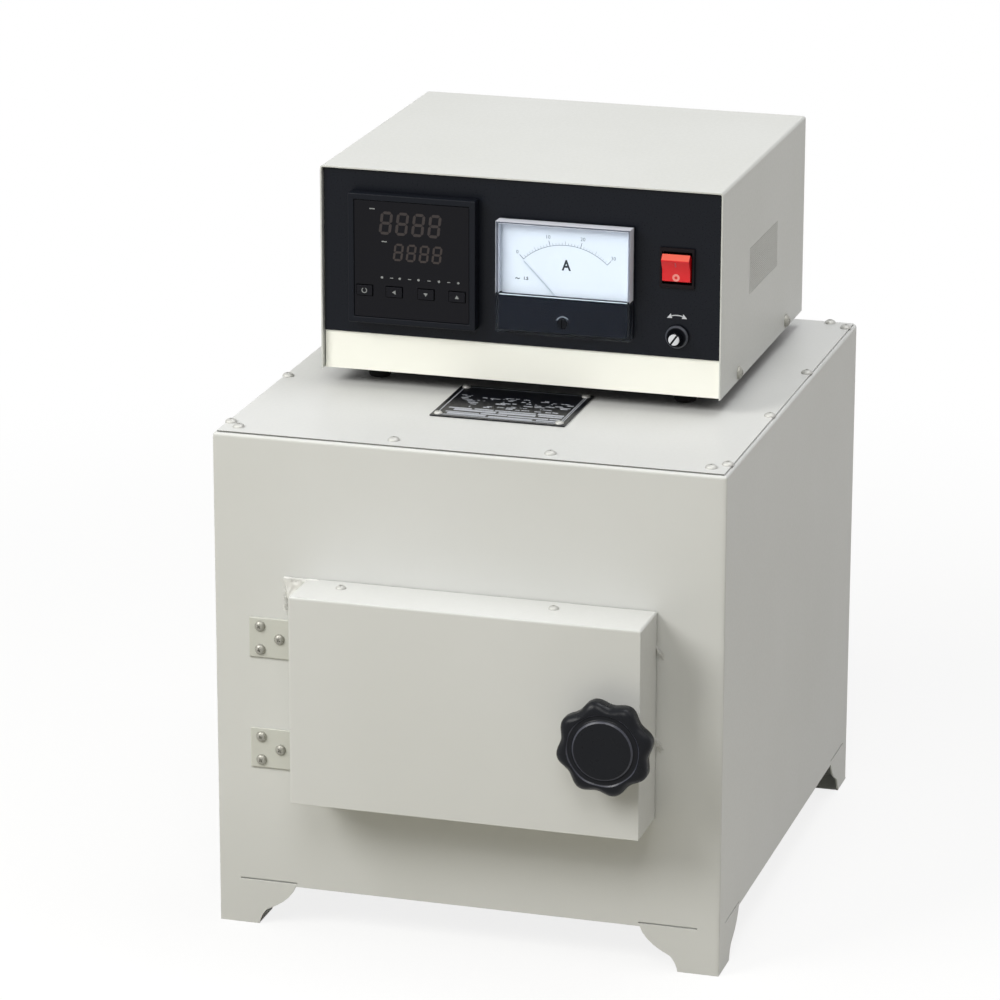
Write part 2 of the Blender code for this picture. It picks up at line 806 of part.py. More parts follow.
def winding_points():
    """The wire's route: from its right lead forward round the muffle, and back again between those turns."""
    (x0, z0), (x1, z1) = muffle_outside(touch_gap + wire_radius)
    corners = ((x1, z1), (x1, z0), (x0, z0), (x0, z1))
    sides = len(corners)
    last = wire_turns * sides
    back_end = wire_start + wire_turns * wire_pitch
    lead_end = rear_board_back + touch_gap + terminal_wire_depth

    def on_muffle(i, offset):
        x, z = corners[i % sides]
        return x, back_end - i * wire_pitch / sides + offset, z

    forward = [on_muffle(i, 0) for i in range(last + 1)]
    backward = [on_muffle(i, wire_pitch / 2) for i in range(last, sides - 2, -1)]
    return [(x1, lead_end, z1)] + forward + backward + [(x0, lead_end, z1)]


def heating_element():
    points = winding_points()
    line = bpy.data.curves.new("heating_element", "CURVE")
    line.dimensions = "3D"
    line.bevel_depth = wire_radius
    line.bevel_resolution = 2
    line.use_fill_caps = True
    spline = line.splines.new("POLY")
    spline.points.add(len(points) - 1)
    centre = Vector((chamber_x, 0, chamber_z))
    for slot, point in zip(spline.points, points):
        slot.co = (*(Vector(point) - centre), 1)
    node = bpy.data.objects.new("heating_element", line)
    node.parent = kiln
    node.location = centre
    parts.objects.link(node)
    finish(node, "heating_wire")
    print("least gap of the winding to itself:", round(wire_pitch / 2 - 2 * wire_radius, 5))


def element_terminals():
    """Ceramic block behind the rear board, with a stud and nut for each lead."""
    z = lead_corners()[0][1]
    start = rear_board_back + touch_gap
    end = start + terminal_depth
    seat = start + terminal_wire_depth + touch_gap
    block = box("terminal_block", (chamber_x - terminal_length / 2, start, z - terminal_height / 2),
                (chamber_x + terminal_length / 2, end, z + terminal_height / 2), kiln, "ceramic")
    leads = lead_corners()
    cut_rods(block, lines_y(leads, start - overrun, seat + touch_gap), lead_hole_radius, "wire_holes",
             small_sides)
    cut_rods(block, lines_y(leads, seat, end + overrun), stud_radius + 2 * touch_gap, "stud_holes",
             small_sides)
    nut_low = end - seat + stud_nut_start
    nut_top = nut_low + stud_nut_thick
    profile = ((0, stud_length), (stud_radius, stud_length), (stud_radius, nut_top),
               (stud_nut_radius, nut_top), (stud_nut_radius, nut_low), (stud_radius, nut_low),
               (stud_radius, 0), (0, 0))
    for side, (x, z) in zip(("right", "left"), leads):
        turned("terminal_stud_" + side, profile, (x, seat + touch_gap, z), (0, 1, 0), kiln, "brass",
               small_sides)


def thermocouple():
    rod("thermocouple_sheath", (chamber_x, chamber_depth + touch_gap - sheath_reach, probe_z),
        (chamber_x, probe_head_start - touch_gap, probe_z), sheath_radius, kiln, "ceramic", fine_sides)
    profile = [(probe_head_radius * r, probe_head_length * h) for r, h in probe_head_shares]
    profile.append((0, 0))
    turned("thermocouple_head", profile, (chamber_x, probe_head_start, probe_z), (0, 1, 0), kiln,
           "black_plastic")


def gasket():
    """Fibre seal round the mouth, with a ragged corner that shows past the door."""
    low = (door_left + gasket_hinge_inset, -touch_gap - gasket_thick, door_low + gasket_inset)
    high = (door_right - gasket_inset, -touch_gap, door_top - gasket_inset)
    seal = box("mouth_gasket", low, high, kiln, "fibre_board")
    add_box(seal, (door_left - gasket_tab_width, low[1], door_top - gasket_tab_height),
            (low[0] + overrun, high[1], door_top), "corner_tuft")
    (x0, z0), (x1, z1) = muffle_outside(gasket_bore_margin)
    cut_box(seal, (x0, low[1] - overrun, z0), (x1, high[1] + overrun, z1), "bore")
    latch_slot(seal, low[1], gasket_thick)


def latch_keeper():
    start = sheet + touch_gap
    keeper = box("latch_keeper", (knob_x - keeper_width / 2, start, knob_z - keeper_height / 2),
                 (knob_x + keeper_width / 2, start + keeper_thick, knob_z + keeper_height / 2), kiln,
                 "steel")
    latch_slot(keeper, start, keeper_thick)


def knuckle_bounds(z):
    """Bottom and top of the moving knuckle in the middle of a hinge."""
    half = leaf_height * knuckle_share / 2
    return z - half, z + half


def hinge(side):
    """One hinge: the leaf screwed to the front panel and the leaf screwed to the door's left wall."""
    z = hinge_heights[side]
    low, high = z - leaf_height / 2, z + leaf_height / 2
    mid_low, mid_high = knuckle_bounds(z)
    y = -axis_reach
    front = -touch_gap - leaf_thick
    bore = pin_radius + pin_clearance
    half_web = leaf_thick / 2
    fixed = box("hinge_leaf_" + side + "_fixed", (-leaf_left, front, low),
                (axis_x + half_web, -touch_gap, high), kiln, "casing_paint")
    add_box(fixed, (axis_x - half_web, y, low), (axis_x + half_web, front + half_web, high), "web")
    add_rod(fixed, (axis_x, y, low), (axis_x, y, high), knuckle_radius, "knuckle", fine_sides)
    reach = knuckle_radius + knuckle_room
    cut_box(fixed, (axis_x - reach, y - reach, mid_low - knuckle_gap),
            (axis_x + reach, y + reach, mid_high + knuckle_gap), "knuckle_gap")
    cut_rods(fixed, [((axis_x, y, low - overrun), (axis_x, y, high + overrun))], bore, "bore", fine_sides)
    screw_holes(fixed, hinge_screw_places(front, (side,)))

    wall = door_left - touch_gap
    start = y - moving_leaf_start
    moving = box("hinge_leaf_" + side + "_moving", (wall - leaf_thick, start - moving_leaf_length, low),
                 (wall, start, high), door, "casing_paint")
    add_box(moving, (wall - leaf_thick, start - leaf_thick, mid_low), (wall, y, mid_high), "tongue")
    add_rod(moving, (axis_x, y, mid_low), (axis_x, y, mid_high), knuckle_radius, "knuckle", fine_sides)
    cut_rods(moving, [((axis_x, y, low - overrun), (axis_x, y, high + overrun))], bore, "bore", fine_sides)
    screw_holes(moving, leaf_screw_places(wall - leaf_thick, (side,)))


def hinges():
    for side in hinge_heights:
        hinge(side)
    seat = leaf_height + touch_gap
    top = seat + pin_head_rise
    profile = ((0, top), (pin_head_radius, top), (pin_head_radius, seat), (pin_radius, seat),
               (pin_radius, 0), (0, 0))
    for side, z in hinge_heights.items():
        turned("hinge_pin_" + side, profile, (axis_x, -axis_reach, z - leaf_height / 2), (0, 0, 1), kiln,
               "steel", fine_sides)


def door_screw_holes(node):
    """Holes for the screws in the door's top, bottom and left walls."""
    screw_holes(node, pan_screw_places(True), "top_holes")
    screw_holes(node, pan_screw_places(False), "bottom_holes")
    screw_holes(node, leaf_screw_places(door_left), "leaf_holes")


def door_case():
    """Outer pan with a lipped tray set into its back."""
    pan = box("door_pan", (door_left, -door_front, door_low), (door_right, -pan_gap, door_top), door,
              "casing_paint")
    cut_box(pan, (door_left + sheet, -door_front + sheet, door_low + sheet),
            (door_right - sheet, -pan_gap + overrun, door_top - sheet), "inside")
    cut_box(pan, (door_left - overrun, -door_back, door_top - gasket_tab_height - touch_gap),
            (door_left + gasket_hinge_inset + overrun + touch_gap, -pan_gap + overrun, door_top + overrun),
            "tuft_notch")
    cut_rods(pan, lines_y([(knob_x, knob_z)], -door_front - overrun, -door_front + overrun),
             bush_radius + touch_gap, "bush_hole")
    door_screw_holes(pan)

    outer = sheet + touch_gap
    inner = outer + sheet
    mouth = inner + tray_lip
    tray = box("door_tray", (door_left + outer, -door_back - tray_depth, door_low + outer),
               (door_right - outer, -door_back, door_top - outer), door, "steel")
    cut_box(tray, (door_left + inner, -door_back - tray_depth - overrun, door_low + inner),
            (door_right - inner, -door_back - sheet, door_top - inner), "inside")
    cut_box(tray, (door_left + mouth, -door_back - 2 * sheet, door_low + mouth),
            (door_right - mouth, -door_back + overrun, door_top - mouth), "opening")
    door_screw_holes(tray)


def door_insulation():
    """Fibre block inside the door, with the plug that closes the mouth."""
    side = 2 * sheet + 2 * touch_gap
    block = box("door_insulation", (door_left + side, -door_front + sheet + touch_gap, door_low + side),
                (door_right - side, -door_back - sheet - touch_gap, door_top - side), door, "fibre_board")
    (x0, z0), (x1, z1) = muffle_outside(gasket_bore_margin - plug_margin)
    add_box(block, (x0, -door_back - 2 * sheet, z0), (x1, -2 * touch_gap, z1), "plug")
    cut_rods(block, lines_y([(knob_x, knob_z)], -door_front - overrun, -door_back + overrun),
             bush_radius + 2 * touch_gap, "spindle_hole", fine_sides)


def latch_bush():
    """Flanged bush in the door's face that the spindle turns in."""
    seat = -door_front - touch_gap
    flange_face = seat - bush_flange_thick
    bush = rod("latch_bush", (knob_x, seat - bush_flange_thick / 2, knob_z),
               (knob_x, seat + bush_length, knob_z), bush_radius, door, "brass")
    add_rod(bush, (knob_x, flange_face, knob_z), (knob_x, seat, knob_z), bush_flange_radius, "flange")
    cut_rods(bush, lines_y([(knob_x, knob_z)], seat - overrun, seat + bush_length + overrun),
             spindle_radius + spindle_clearance, "bore")


def star_outline(radius):
    """Points round a lobed knob of this outer radius."""
    points = []
    count = knob_lobes * knob_lobe_points
    for i in range(count):
        angle = 2 * math.pi * i / count
        r = radius - knob_lobe_depth + knob_lobe_depth * math.cos(knob_lobes * (angle - knob_lobe_turn))
        points.append((r * math.cos(angle), r * math.sin(angle)))
    return points


def door_knob():
    """Lobed disc drawn as a flat outline with rounded edges, on a hub, with a raised cap in front."""
    line = bpy.data.curves.new("door_knob_outline", "CURVE")
    line.dimensions = "2D"
    line.fill_mode = "BOTH"
    line.extrude = knob_thick / 2 - knob_edge_round
    line.bevel_depth = knob_edge_round
    line.bevel_resolution = 1
    spline = line.splines.new("POLY")
    outline = star_outline(knob_radius - knob_edge_round)
    spline.points.add(len(outline) - 1)
    for slot, (u, v) in zip(spline.points, outline):
        slot.co = (u, v, 0, 1)
    spline.use_cyclic_u = True
    drawn = bpy.data.objects.new("door_knob_outline", line)
    parts.objects.link(drawn)
    mesh = evaluated_mesh(drawn)
    bpy.data.objects.remove(drawn)
    bm = bmesh.new()
    bm.from_mesh(mesh)
    bmesh.ops.remove_doubles(bm, verts=bm.verts, dist=weld_distance)
    centre = -knob_face + knob_disc_rise + knob_thick / 2
    lay = Matrix.Translation((knob_x, centre, knob_z)) @ Matrix.Rotation(math.pi / 2, 4, "X")
    bm.transform(lay)
    knob = solid("door_knob", bm, (knob_x, -door_front, knob_z), latch, "black_plastic")
    hub_back = -door_front - bush_flange_thick - 2 * touch_gap
    add_rod(knob, (knob_x, centre, knob_z), (knob_x, hub_back, knob_z), knob_hub_radius, "hub")
    add_rod(knob, (knob_x, centre, knob_z), (knob_x, -knob_face, knob_z), knob_disc_radius, "cap")
    cut_rods(knob, lines_y([(knob_x, knob_z)], centre, -door_front), spindle_radius + touch_gap, "bore")


def latch_spindle():
    """Rod through the door with the bar that turns behind the keeper."""
    start = -knob_face + knob_disc_rise + knob_thick / 2 + touch_gap
    spindle = rod("latch_spindle", (knob_x, start, knob_z), (knob_x, bar_start + bar_thick / 2, knob_z),
                  spindle_radius, latch, "steel")
    add_box(spindle, (knob_x - bar_width / 2, bar_start, knob_z - bar_length / 2),
            (knob_x + bar_width / 2, bar_start + bar_thick, knob_z + bar_length / 2), "bar")


def in_box(x, y, z):
    """A place given from the controller's middle, its cover's front edge and its underside."""
    return (box_x + x, box_y + y, box_low + z)


def controller_case():
    """Folded cover over a chassis tray, with the black fascia plate in front."""
    half = box_width / 2
    inner = half - sheet
    cover = box("controller_cover", in_box(-half, 0, 0), in_box(half, box_depth, box_height), kiln,
                "casing_paint")
    cut_box(cover, in_box(-inner, -overrun, -overrun),
            in_box(inner, box_depth + overrun, box_height - sheet), "inside")
    cut_boxes(cover, vent_boxes(), "vents")
    screw_holes(cover, cover_screw_places())

    side = inner - chassis_clearance
    y0 = front_recess + fascia_thick + touch_gap
    y1 = box_depth - chassis_clearance
    top = box_height - sheet - fascia_top_gap
    chassis = box("controller_chassis", in_box(-side, y0, 0), in_box(side, y1, top), kiln, "strip_paint")
    cut_box(chassis, in_box(-side + sheet, y0 + sheet, sheet),
            in_box(side - sheet, y1 - sheet, top + overrun), "inside")
    cut_box(chassis, in_box(-half, y0 + 2 * sheet, chassis_flange),
            in_box(half, y1 - 2 * sheet, top + overrun), "open_sides")
    screw_holes(chassis, cover_screw_places())
    front_openings(chassis, y0 - overrun, y0 + sheet + overrun)
    slots = []
    for i in range(rear_slots):
        x = (i - (rear_slots - 1) / 2) * rear_slot_pitch
        slots.append((in_box(x - rear_slot_width / 2, y1 - overrun, box_height / 2),
                      in_box(x + rear_slot_width / 2, y1 + overrun, box_height / 2 + rear_slot_height)))
    cut_boxes(chassis, slots, "rear_vents")
    through = Vector((0, overrun, 0))
    cable_end = Vector(in_box(box_gland_x, y1, box_gland_z))
    cut_rods(chassis, [(cable_end - through, cable_end + through)], gland_neck + touch_gap, "gland_hole")
    cable_gland("controller_gland", cable_end)

    fascia = box("controller_fascia", in_box(-side, front_recess, strip_height),
                 in_box(side, front_recess + fascia_thick, top), kiln, "fascia")
    front_openings(fascia, front_recess - overrun, front_recess + fascia_thick + overrun)

    for row, y in (("front", foot_inset), ("rear", box_depth - foot_inset)):
        for side, x in (("left", foot_inset - half), ("right", half - foot_inset)):
            bm = bmesh.new()
            base, top = in_box(x, y, touch_gap - box_foot), in_box(x, y, -touch_gap)
            draw_rod(bm, base, top, foot_radius * foot_taper_share, fine_sides, foot_radius)
            solid("controller_foot_" + row + "_" + side, bm, base, kiln, "rubber")


def vent_boxes():
    """Rows of square holes through both sides of the cover."""
    columns, rows = vent_holes
    pitch_y, pitch_z = vent_length / columns, vent_height / rows
    along, up = (pitch_y - vent_bar) / 2, (pitch_z - vent_bar) / 2
    reach = box_width / 2 + overrun
    made = []
    for i in range(columns):
        for j in range(rows):
            y = vent_start + (i + 1 / 2) * pitch_y
            z = vent_low + (j + 1 / 2) * pitch_z
            made.append((in_box(-reach, y - along, z - up), in_box(reach, y + along, z + up)))
    return made


def cover_screw_places():
    places = []
    for side in (-1, 1):
        points = [in_box(side * box_width / 2, y, cover_screw_height) for y in cover_screw_ys]
        places += facing(points, (side, 0, 0))
    return places


def front_openings(node, y0, y1):
    """Openings for the instruments in the controller's front."""
    bodies = ((instrument_x, instrument_z, instrument_body, instrument_body),
              (meter_x, meter_z, meter_body_width, meter_body_height),
              (switch_x, switch_z, switch_width - 2 * switch_rim, switch_height - 2 * switch_rim))
    holes = []
    for x, z, width, height in bodies:
        u, v = width / 2 + touch_gap, height / 2 + touch_gap
        holes.append((in_box(x - u, y0, z - v), in_box(x + u, y1, z + v)))
    cut_boxes(node, holes, "openings")
    cut_rods(node, [(in_box(adjust_x, y0, adjust_z), in_box(adjust_x, y1, adjust_z))],
             adjuster_shaft_radius + 2 * touch_gap, "adjuster_hole", fine_sides)


def cable_gland(name, place):
    """Rubber ring that grips the edge of a hole in a sheet, for a cable to pass."""
    back = -sheet - 2 * touch_gap
    end = -sheet - gland_lip
    profile = ((gland_bore, gland_lip), (gland_radius, gland_lip), (gland_radius, touch_gap),
               (gland_neck, touch_gap), (gland_neck, back), (gland_radius, back), (gland_radius, end),
               (gland_bore, end), (gland_bore, gland_lip))
    turned(name, profile, place, (0, 1, 0), kiln, "rubber", fine_sides)


def key_box(name, front, back, extra=0):
    """Low and high corners of a key between two depths, with room round it."""
    x = instrument_x + key_places[name]
    z = instrument_z + key_z
    u, v = key_width / 2 + extra, key_height / 2 + extra
    return in_box(x - u, front, z - v), in_box(x + u, back, z + v)


def instrument():
    half = instrument_size / 2
    body = instrument_body / 2
    flange = front_recess - touch_gap
    rim = flange - instrument_proud
    case = box("instrument_case", in_box(instrument_x - half, rim, instrument_z - half),
               in_box(instrument_x + half, flange, instrument_z + half), kiln, "black_plastic")
    add_box(case, in_box(instrument_x - body, flange - instrument_proud / 2, instrument_z - body),
            in_box(instrument_x + body, flange + instrument_body_depth, instrument_z + body), "body")
    face = rim + instrument_sink
    inside = half - instrument_rim
    cut_box(case, in_box(instrument_x - inside, rim - overrun, instrument_z - inside),
            in_box(instrument_x + inside, face, instrument_z + inside), "sink")
    wells = [key_box(name, face - overrun, face + key_well, key_clearance) for name in key_places]
    cut_boxes(case, wells, "key_wells")
    cover = inside - touch_gap
    front = face - touch_gap - face_thick
    window = box("instrument_face", in_box(instrument_x - cover, front, instrument_z - cover),
                 in_box(instrument_x + cover, face - touch_gap, instrument_z + cover), kiln, "smoked_face")
    holes = [key_box(name, front - overrun, face + overrun, key_clearance) for name in key_places]
    cut_boxes(window, holes, "key_holes")
    back = face + key_well - key_travel - 2 * touch_gap
    for name, place in key_places.items():
        middle_front = in_box(instrument_x + place, front - key_rise, instrument_z + key_z)
        slide = anchor(name + "_axis", middle_front, kiln)
        box(name, *key_box(name, front - key_rise, back), slide, "black_plastic")


def meter():
    u, v = meter_width / 2, meter_height / 2
    flange = front_recess - touch_gap
    case = box("meter_case", in_box(meter_x - u, flange - meter_flange, meter_z - v),
               in_box(meter_x + u, flange, meter_z + v), kiln, "black_plastic")
    a, b = meter_body_width / 2, meter_body_height / 2
    add_box(case, in_box(meter_x - a, flange - meter_flange / 2, meter_z - b),
            in_box(meter_x + a, flange + meter_body_depth, meter_z + b), "body")

    seat = flange - meter_flange - touch_gap
    front = flange - meter_proud
    cover = box("meter_cover", in_box(meter_x - u, front, meter_z - v),
                in_box(meter_x + u, seat, meter_z + v), kiln, "clear_cover")
    cut_box(cover, in_box(meter_x - u + meter_wall, front + meter_wall, meter_z - v + meter_wall),
            in_box(meter_x + u - meter_wall, seat + overrun, meter_z + v - meter_wall), "inside")
    zero_place = Vector(in_box(meter_x, front, meter_z + zero_z))
    ahead = zero_place - Vector((0, overrun, 0))
    zero_hole = zero_radius + 2 * touch_gap
    cut_rods(cover, [(ahead, zero_place + Vector((0, overrun, 0)))], zero_hole, "zero_hole", fine_sides)

    room = meter_wall + touch_gap
    hub_seat = seat - touch_gap - dial_thick - needle_hub_length
    mask_top = meter_z - v + meter_mask_height
    mask = box("meter_mask", in_box(meter_x - u + room, front + room, meter_z - v + room),
               in_box(meter_x + u - room, hub_seat, mask_top), kiln, "black_plastic")
    cut_rods(mask, [(ahead, zero_place + Vector((0, zero_length + touch_gap, 0)))], zero_hole, "zero_pocket",
             fine_sides)
    hub = Vector(in_box(meter_x, hub_seat, meter_z + needle_pivot_z))
    cut_rods(mask, [(hub - Vector((0, needle_hub_room, 0)), hub + Vector((0, overrun, 0)))],
             needle_hub_radius + needle_hub_room, "hub_pocket", fine_sides)

    room = meter_wall + dial_margin
    box("meter_dial", in_box(meter_x - u + room, seat - dial_thick, meter_z - v + room),
        in_box(meter_x + u - room, seat, meter_z + v - room), kiln, "dial_card")
    meter_movement(hub, zero_place)


def meter_movement(hub, zero_place):
    """The needle on its hub, lying at the left end of the scale, and the zero screw."""
    pivot = anchor("needle_axis", tuple(hub), kiln)
    needle = rod("meter_needle", hub, hub + Vector((0, needle_hub_length, 0)), needle_hub_radius, pivot,
                 "needle_black", fine_sides)
    bm = bmesh.new()
    half = needle_width / 2
    draw_box(bm, (-half, needle_thick / 2, 0), (half, needle_thick * 3 / 2, needle_length))
    bm.transform(Matrix.Translation(hub) @ Matrix.Rotation(-needle_rest, 4, "Y"))
    combine(needle, solid("meter_needle_pointer", bm, hub, pivot), "UNION")

    turner = anchor("zero_axis", tuple(zero_place), kiln)
    screw = rod("meter_zero_screw", zero_place - Vector((0, touch_gap, 0)),
                zero_place + Vector((0, zero_length, 0)), zero_radius, turner, "black_plastic", fine_sides)
    cut_box(screw, zero_place - Vector((zero_slot_width / 2, overrun, 2 * zero_radius)),
            zero_place + Vector((zero_slot_width / 2, zero_slot_depth, 2 * zero_radius)), "slot")


def mains_switch():
    u, v = switch_width / 2, switch_height / 2
    flange = front_recess - touch_gap
    frame = box("switch_frame", in_box(switch_x - u, flange - switch_rim_rise, switch_z - v),
                in_box(switch_x + u, flange, switch_z + v), kiln, "black_plastic")
    a, b = u - switch_rim, v - switch_rim
    add_box(frame, in_box(switch_x - a, flange - switch_rim_rise / 2, switch_z - b),
            in_box(switch_x + a, flange + switch_body_depth, switch_z + b), "body")
    c, d = rocker_width / 2 + rocker_gap, rocker_end_half + rocker_gap
    cut_box(frame, in_box(switch_x - c, flange - overrun, switch_z - d),
            in_box(switch_x + c, flange + switch_body_depth / 2, switch_z + d), "well")

    face = flange - switch_rim_rise
    pivot = anchor("rocker_axis", in_box(switch_x, face, switch_z), kiln)
    upper = ((-rocker_crease_rise, 0), (-rocker_crown_rise, rocker_crown_half),
             (rocker_end_sink, rocker_end_half), (rocker_back_depth, rocker_back_half))
    lower = tuple((y, -z) for y, z in reversed(upper[1:]))
    turn = Matrix.Rotation(rocker_rest, 2)
    outline = [tuple(turn @ Vector(point)) for point in upper + lower]
    bm = bmesh.new()
    draw_prism(bm, outline, -rocker_width / 2, rocker_width / 2,
               lambda u, v, w: in_box(switch_x + w, face + u, switch_z + v))
    solid("rocker", bm, in_box(switch_x, face, switch_z), pivot, "switch_red")


def adjuster():
    """The preset potentiometer behind the front, and the slotted knob on its shaft."""
    axis = Vector(in_box(adjust_x, 0, adjust_z))

    def at(depth):
        return axis + Vector((0, depth, 0))

    body_start = front_recess + fascia_thick + sheet + 2 * touch_gap
    shaft_end = front_recess - adjuster_shaft_proud
    pot = rod("adjuster", at(body_start), at(body_start + adjuster_body_depth), adjuster_body_radius, kiln,
              "steel")
    add_rod(pot, at(shaft_end), at(body_start + touch_gap), adjuster_shaft_radius, "shaft", fine_sides)

    front = front_recess - adjust_proud
    skirt_front = front_recess - adjust_skirt_proud
    back = front_recess - touch_gap
    turner = anchor("adjust_axis", tuple(at(front)), kiln)
    knob = rod("adjust_knob", at(skirt_front), at(back), adjust_radius, turner, "black_plastic")
    add_rod(knob, at(front), at(skirt_front + touch_gap), adjust_stem_radius, "stem", fine_sides)
    bm = bmesh.new()
    half, reach = adjust_slot_width / 2, 2 * adjust_stem_radius
    draw_box(bm, (-half, -overrun, -reach), (half, adjust_slot_depth, reach))
    bm.transform(Matrix.Translation(at(front)) @ Matrix.Rotation(adjust_slot_turn, 4, "Y"))
    combine(knob, solid("adjust_knob_slot", bm, axis, turner), "DIFFERENCE")
    cut_rods(knob, [(at(shaft_end - touch_gap), at(back + overrun))], adjuster_shaft_radius + touch_gap,
             "bore", fine_sides)


def inside_parts():
    """The power stage's heat sink and the terminal strip on the controller's floor."""
    floor = sheet + touch_gap
    half = sink_width / 2
    sink = box("heat_sink", in_box(sink_x - half, sink_y, floor),
               in_box(sink_x + half, sink_y + sink_depth, floor + sink_height), kiln, "aluminium")
    fin = sink_width / sink_fins * sink_fin_share
    gap = (sink_width - sink_fins * fin) / (sink_fins - 1)
    slots = []
    for i in range(sink_fins - 1):
        x = sink_x - half + fin + i * (fin + gap)
        slots.append((in_box(x, sink_y - overrun, floor + sink_base),
                      in_box(x + gap, sink_y + sink_depth + overrun, floor + sink_height + overrun)))
    cut_boxes(sink, slots, "fin_slots")

    half = strip_block_width / 2
    top = floor + strip_block_rise
    block = box("terminal_strip", in_box(strip_block_x - half, strip_block_y, floor),
                in_box(strip_block_x + half, strip_block_y + strip_block_depth, top), kiln, "green_plastic")
    pitch = strip_block_width / strip_block_slots
    start = strip_block_y + (strip_block_depth - strip_slot_length) / 2
    slots = []
    for i in range(strip_block_slots):
        x = strip_block_x - half + (i + 1 / 2) * pitch
        slots.append((in_box(x - strip_slot_width / 2, start, top - strip_slot_depth),
                      in_box(x + strip_slot_width / 2, start + strip_slot_length, top + overrun)))
    cut_boxes(block, slots, "slots")


casing_shell()
casing_covers()
nameplate()
insulation()
muffle()
heating_element()
element_terminals()
thermocouple()
gasket()
latch_keeper()
hinges()
door_case()
door_insulation()
latch_bush()
door_knob()
latch_spindle()
controller_case()
cable_gland("kiln_gland", (gland_x, rear_panel_back, gland_z))
instrument()
meter()
mains_switch()
adjuster()
inside_parts()
bpy.context.view_layer.update()
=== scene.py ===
"""A box muffle kiln with its temperature controller on the lid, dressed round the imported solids.

Lengths are in metres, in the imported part's frame: X to the right, Y to the back, Z up from the bench.
"""
import math
import random

import bmesh
import bpy
from mathutils import Matrix, Vector, noise


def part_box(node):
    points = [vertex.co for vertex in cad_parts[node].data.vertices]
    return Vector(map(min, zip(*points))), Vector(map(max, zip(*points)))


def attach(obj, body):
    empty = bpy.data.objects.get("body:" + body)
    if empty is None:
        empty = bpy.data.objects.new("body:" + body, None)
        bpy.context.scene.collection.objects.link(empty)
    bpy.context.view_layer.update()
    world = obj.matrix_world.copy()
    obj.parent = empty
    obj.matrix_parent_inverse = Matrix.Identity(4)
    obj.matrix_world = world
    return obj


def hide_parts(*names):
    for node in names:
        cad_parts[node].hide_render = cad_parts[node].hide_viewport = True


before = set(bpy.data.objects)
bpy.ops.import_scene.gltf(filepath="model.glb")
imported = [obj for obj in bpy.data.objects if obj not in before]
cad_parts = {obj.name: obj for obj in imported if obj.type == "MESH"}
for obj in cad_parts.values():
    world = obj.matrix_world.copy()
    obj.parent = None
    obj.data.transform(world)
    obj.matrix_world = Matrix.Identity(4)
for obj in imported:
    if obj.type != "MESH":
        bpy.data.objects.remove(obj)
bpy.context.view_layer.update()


# The photographer's stand
# A long lens about three metres off looks down on the kiln from a little to the right of its door.
stand = (0.91819, -3.218775, 1.32574)
sight = Vector((-0.26995, 0.91561, -0.29798))
roll = math.radians(0.11)
sensor = 36
focal_length = 170.76
clip_near, clip_far = 0.05, 40


def put(name, data):
    """A new object in the scene."""
    made = bpy.data.objects.new(name, data)
    bpy.context.scene.collection.objects.link(made)
    return made


def aimed(way, turn=0):
    """The rotation of a lens or a lamp that looks along way."""
    return (way.to_track_quat("-Z", "Y").to_matrix() @ Matrix.Rotation(turn, 3, "Z")).to_euler()


lens = bpy.data.cameras.new("camera")
lens.sensor_width = sensor
lens.lens = focal_length
lens.clip_start = clip_near
lens.clip_end = clip_far
camera = put("camera", lens)
camera.location = stand
camera.rotation_euler = aimed(sight, roll)
bpy.context.scene.camera = camera
bpy.context.scene.view_settings.view_transform = "Standard"


# The bench and the light
# A pale bench that runs out into a white backdrop. The widest lamp is a window to the upper left. Weaker ones
# are a skylight overhead, a doorway in front and a window to the right, and the room gives the rest.
bench_half = 9.0
bench_clear = 0.62          # the bench keeps its own shade as far as this from the middle
bench_white = 1.35          # and is as white as the backdrop from here on
shadow_share = 0.17         # how much of the bench's own shade shows, so that its shadow stays pale
room_low = 0.15             # light of the room from the level of the bench
room_high = 0.30            # and from above
horizon, zenith = -0.1, 0.9


def linear(colour):
    """An sRGB hex colour as the linear colour that a node takes."""
    parts = [int(colour[i:i + 2], 16) / 255 for i in (1, 3, 5)]
    return (*[c / 12.92 if c <= 0.04045 else ((c + 0.055) / 1.055) ** 2.4 for c in parts], 1)


def add(tree, kind, inputs=None, **settings):
    """Adds one node with its settings, and gives each named input a value or a link."""
    node = tree.nodes.new(kind)
    for name, value in settings.items():
        setattr(node, name, value)
    for name, value in (inputs or {}).items():
        if isinstance(value, bpy.types.NodeSocket):
            tree.links.new(value, node.inputs[name])
        else:
            node.inputs[name].default_value = value
    return node


def seen_directly(tree):
    """1 for what the camera sees straight, mirrored or through glass, and 0 for what only lights."""
    seen, mirrored, through = [add(tree, "ShaderNodeLightPath").outputs[f"Is {kind} Ray"]
                               for kind in ("Camera", "Glossy", "Transmission")]
    either = add(tree, "ShaderNodeMath", {0: seen, 1: mirrored}, operation="MAXIMUM")
    return add(tree, "ShaderNodeMath", {0: either.outputs[0], 1: through}, operation="MAXIMUM").outputs[0]


room = bpy.data.worlds.new("room")
bpy.context.scene.world = room
room.use_nodes = True
tree = room.node_tree
tree.nodes.clear()
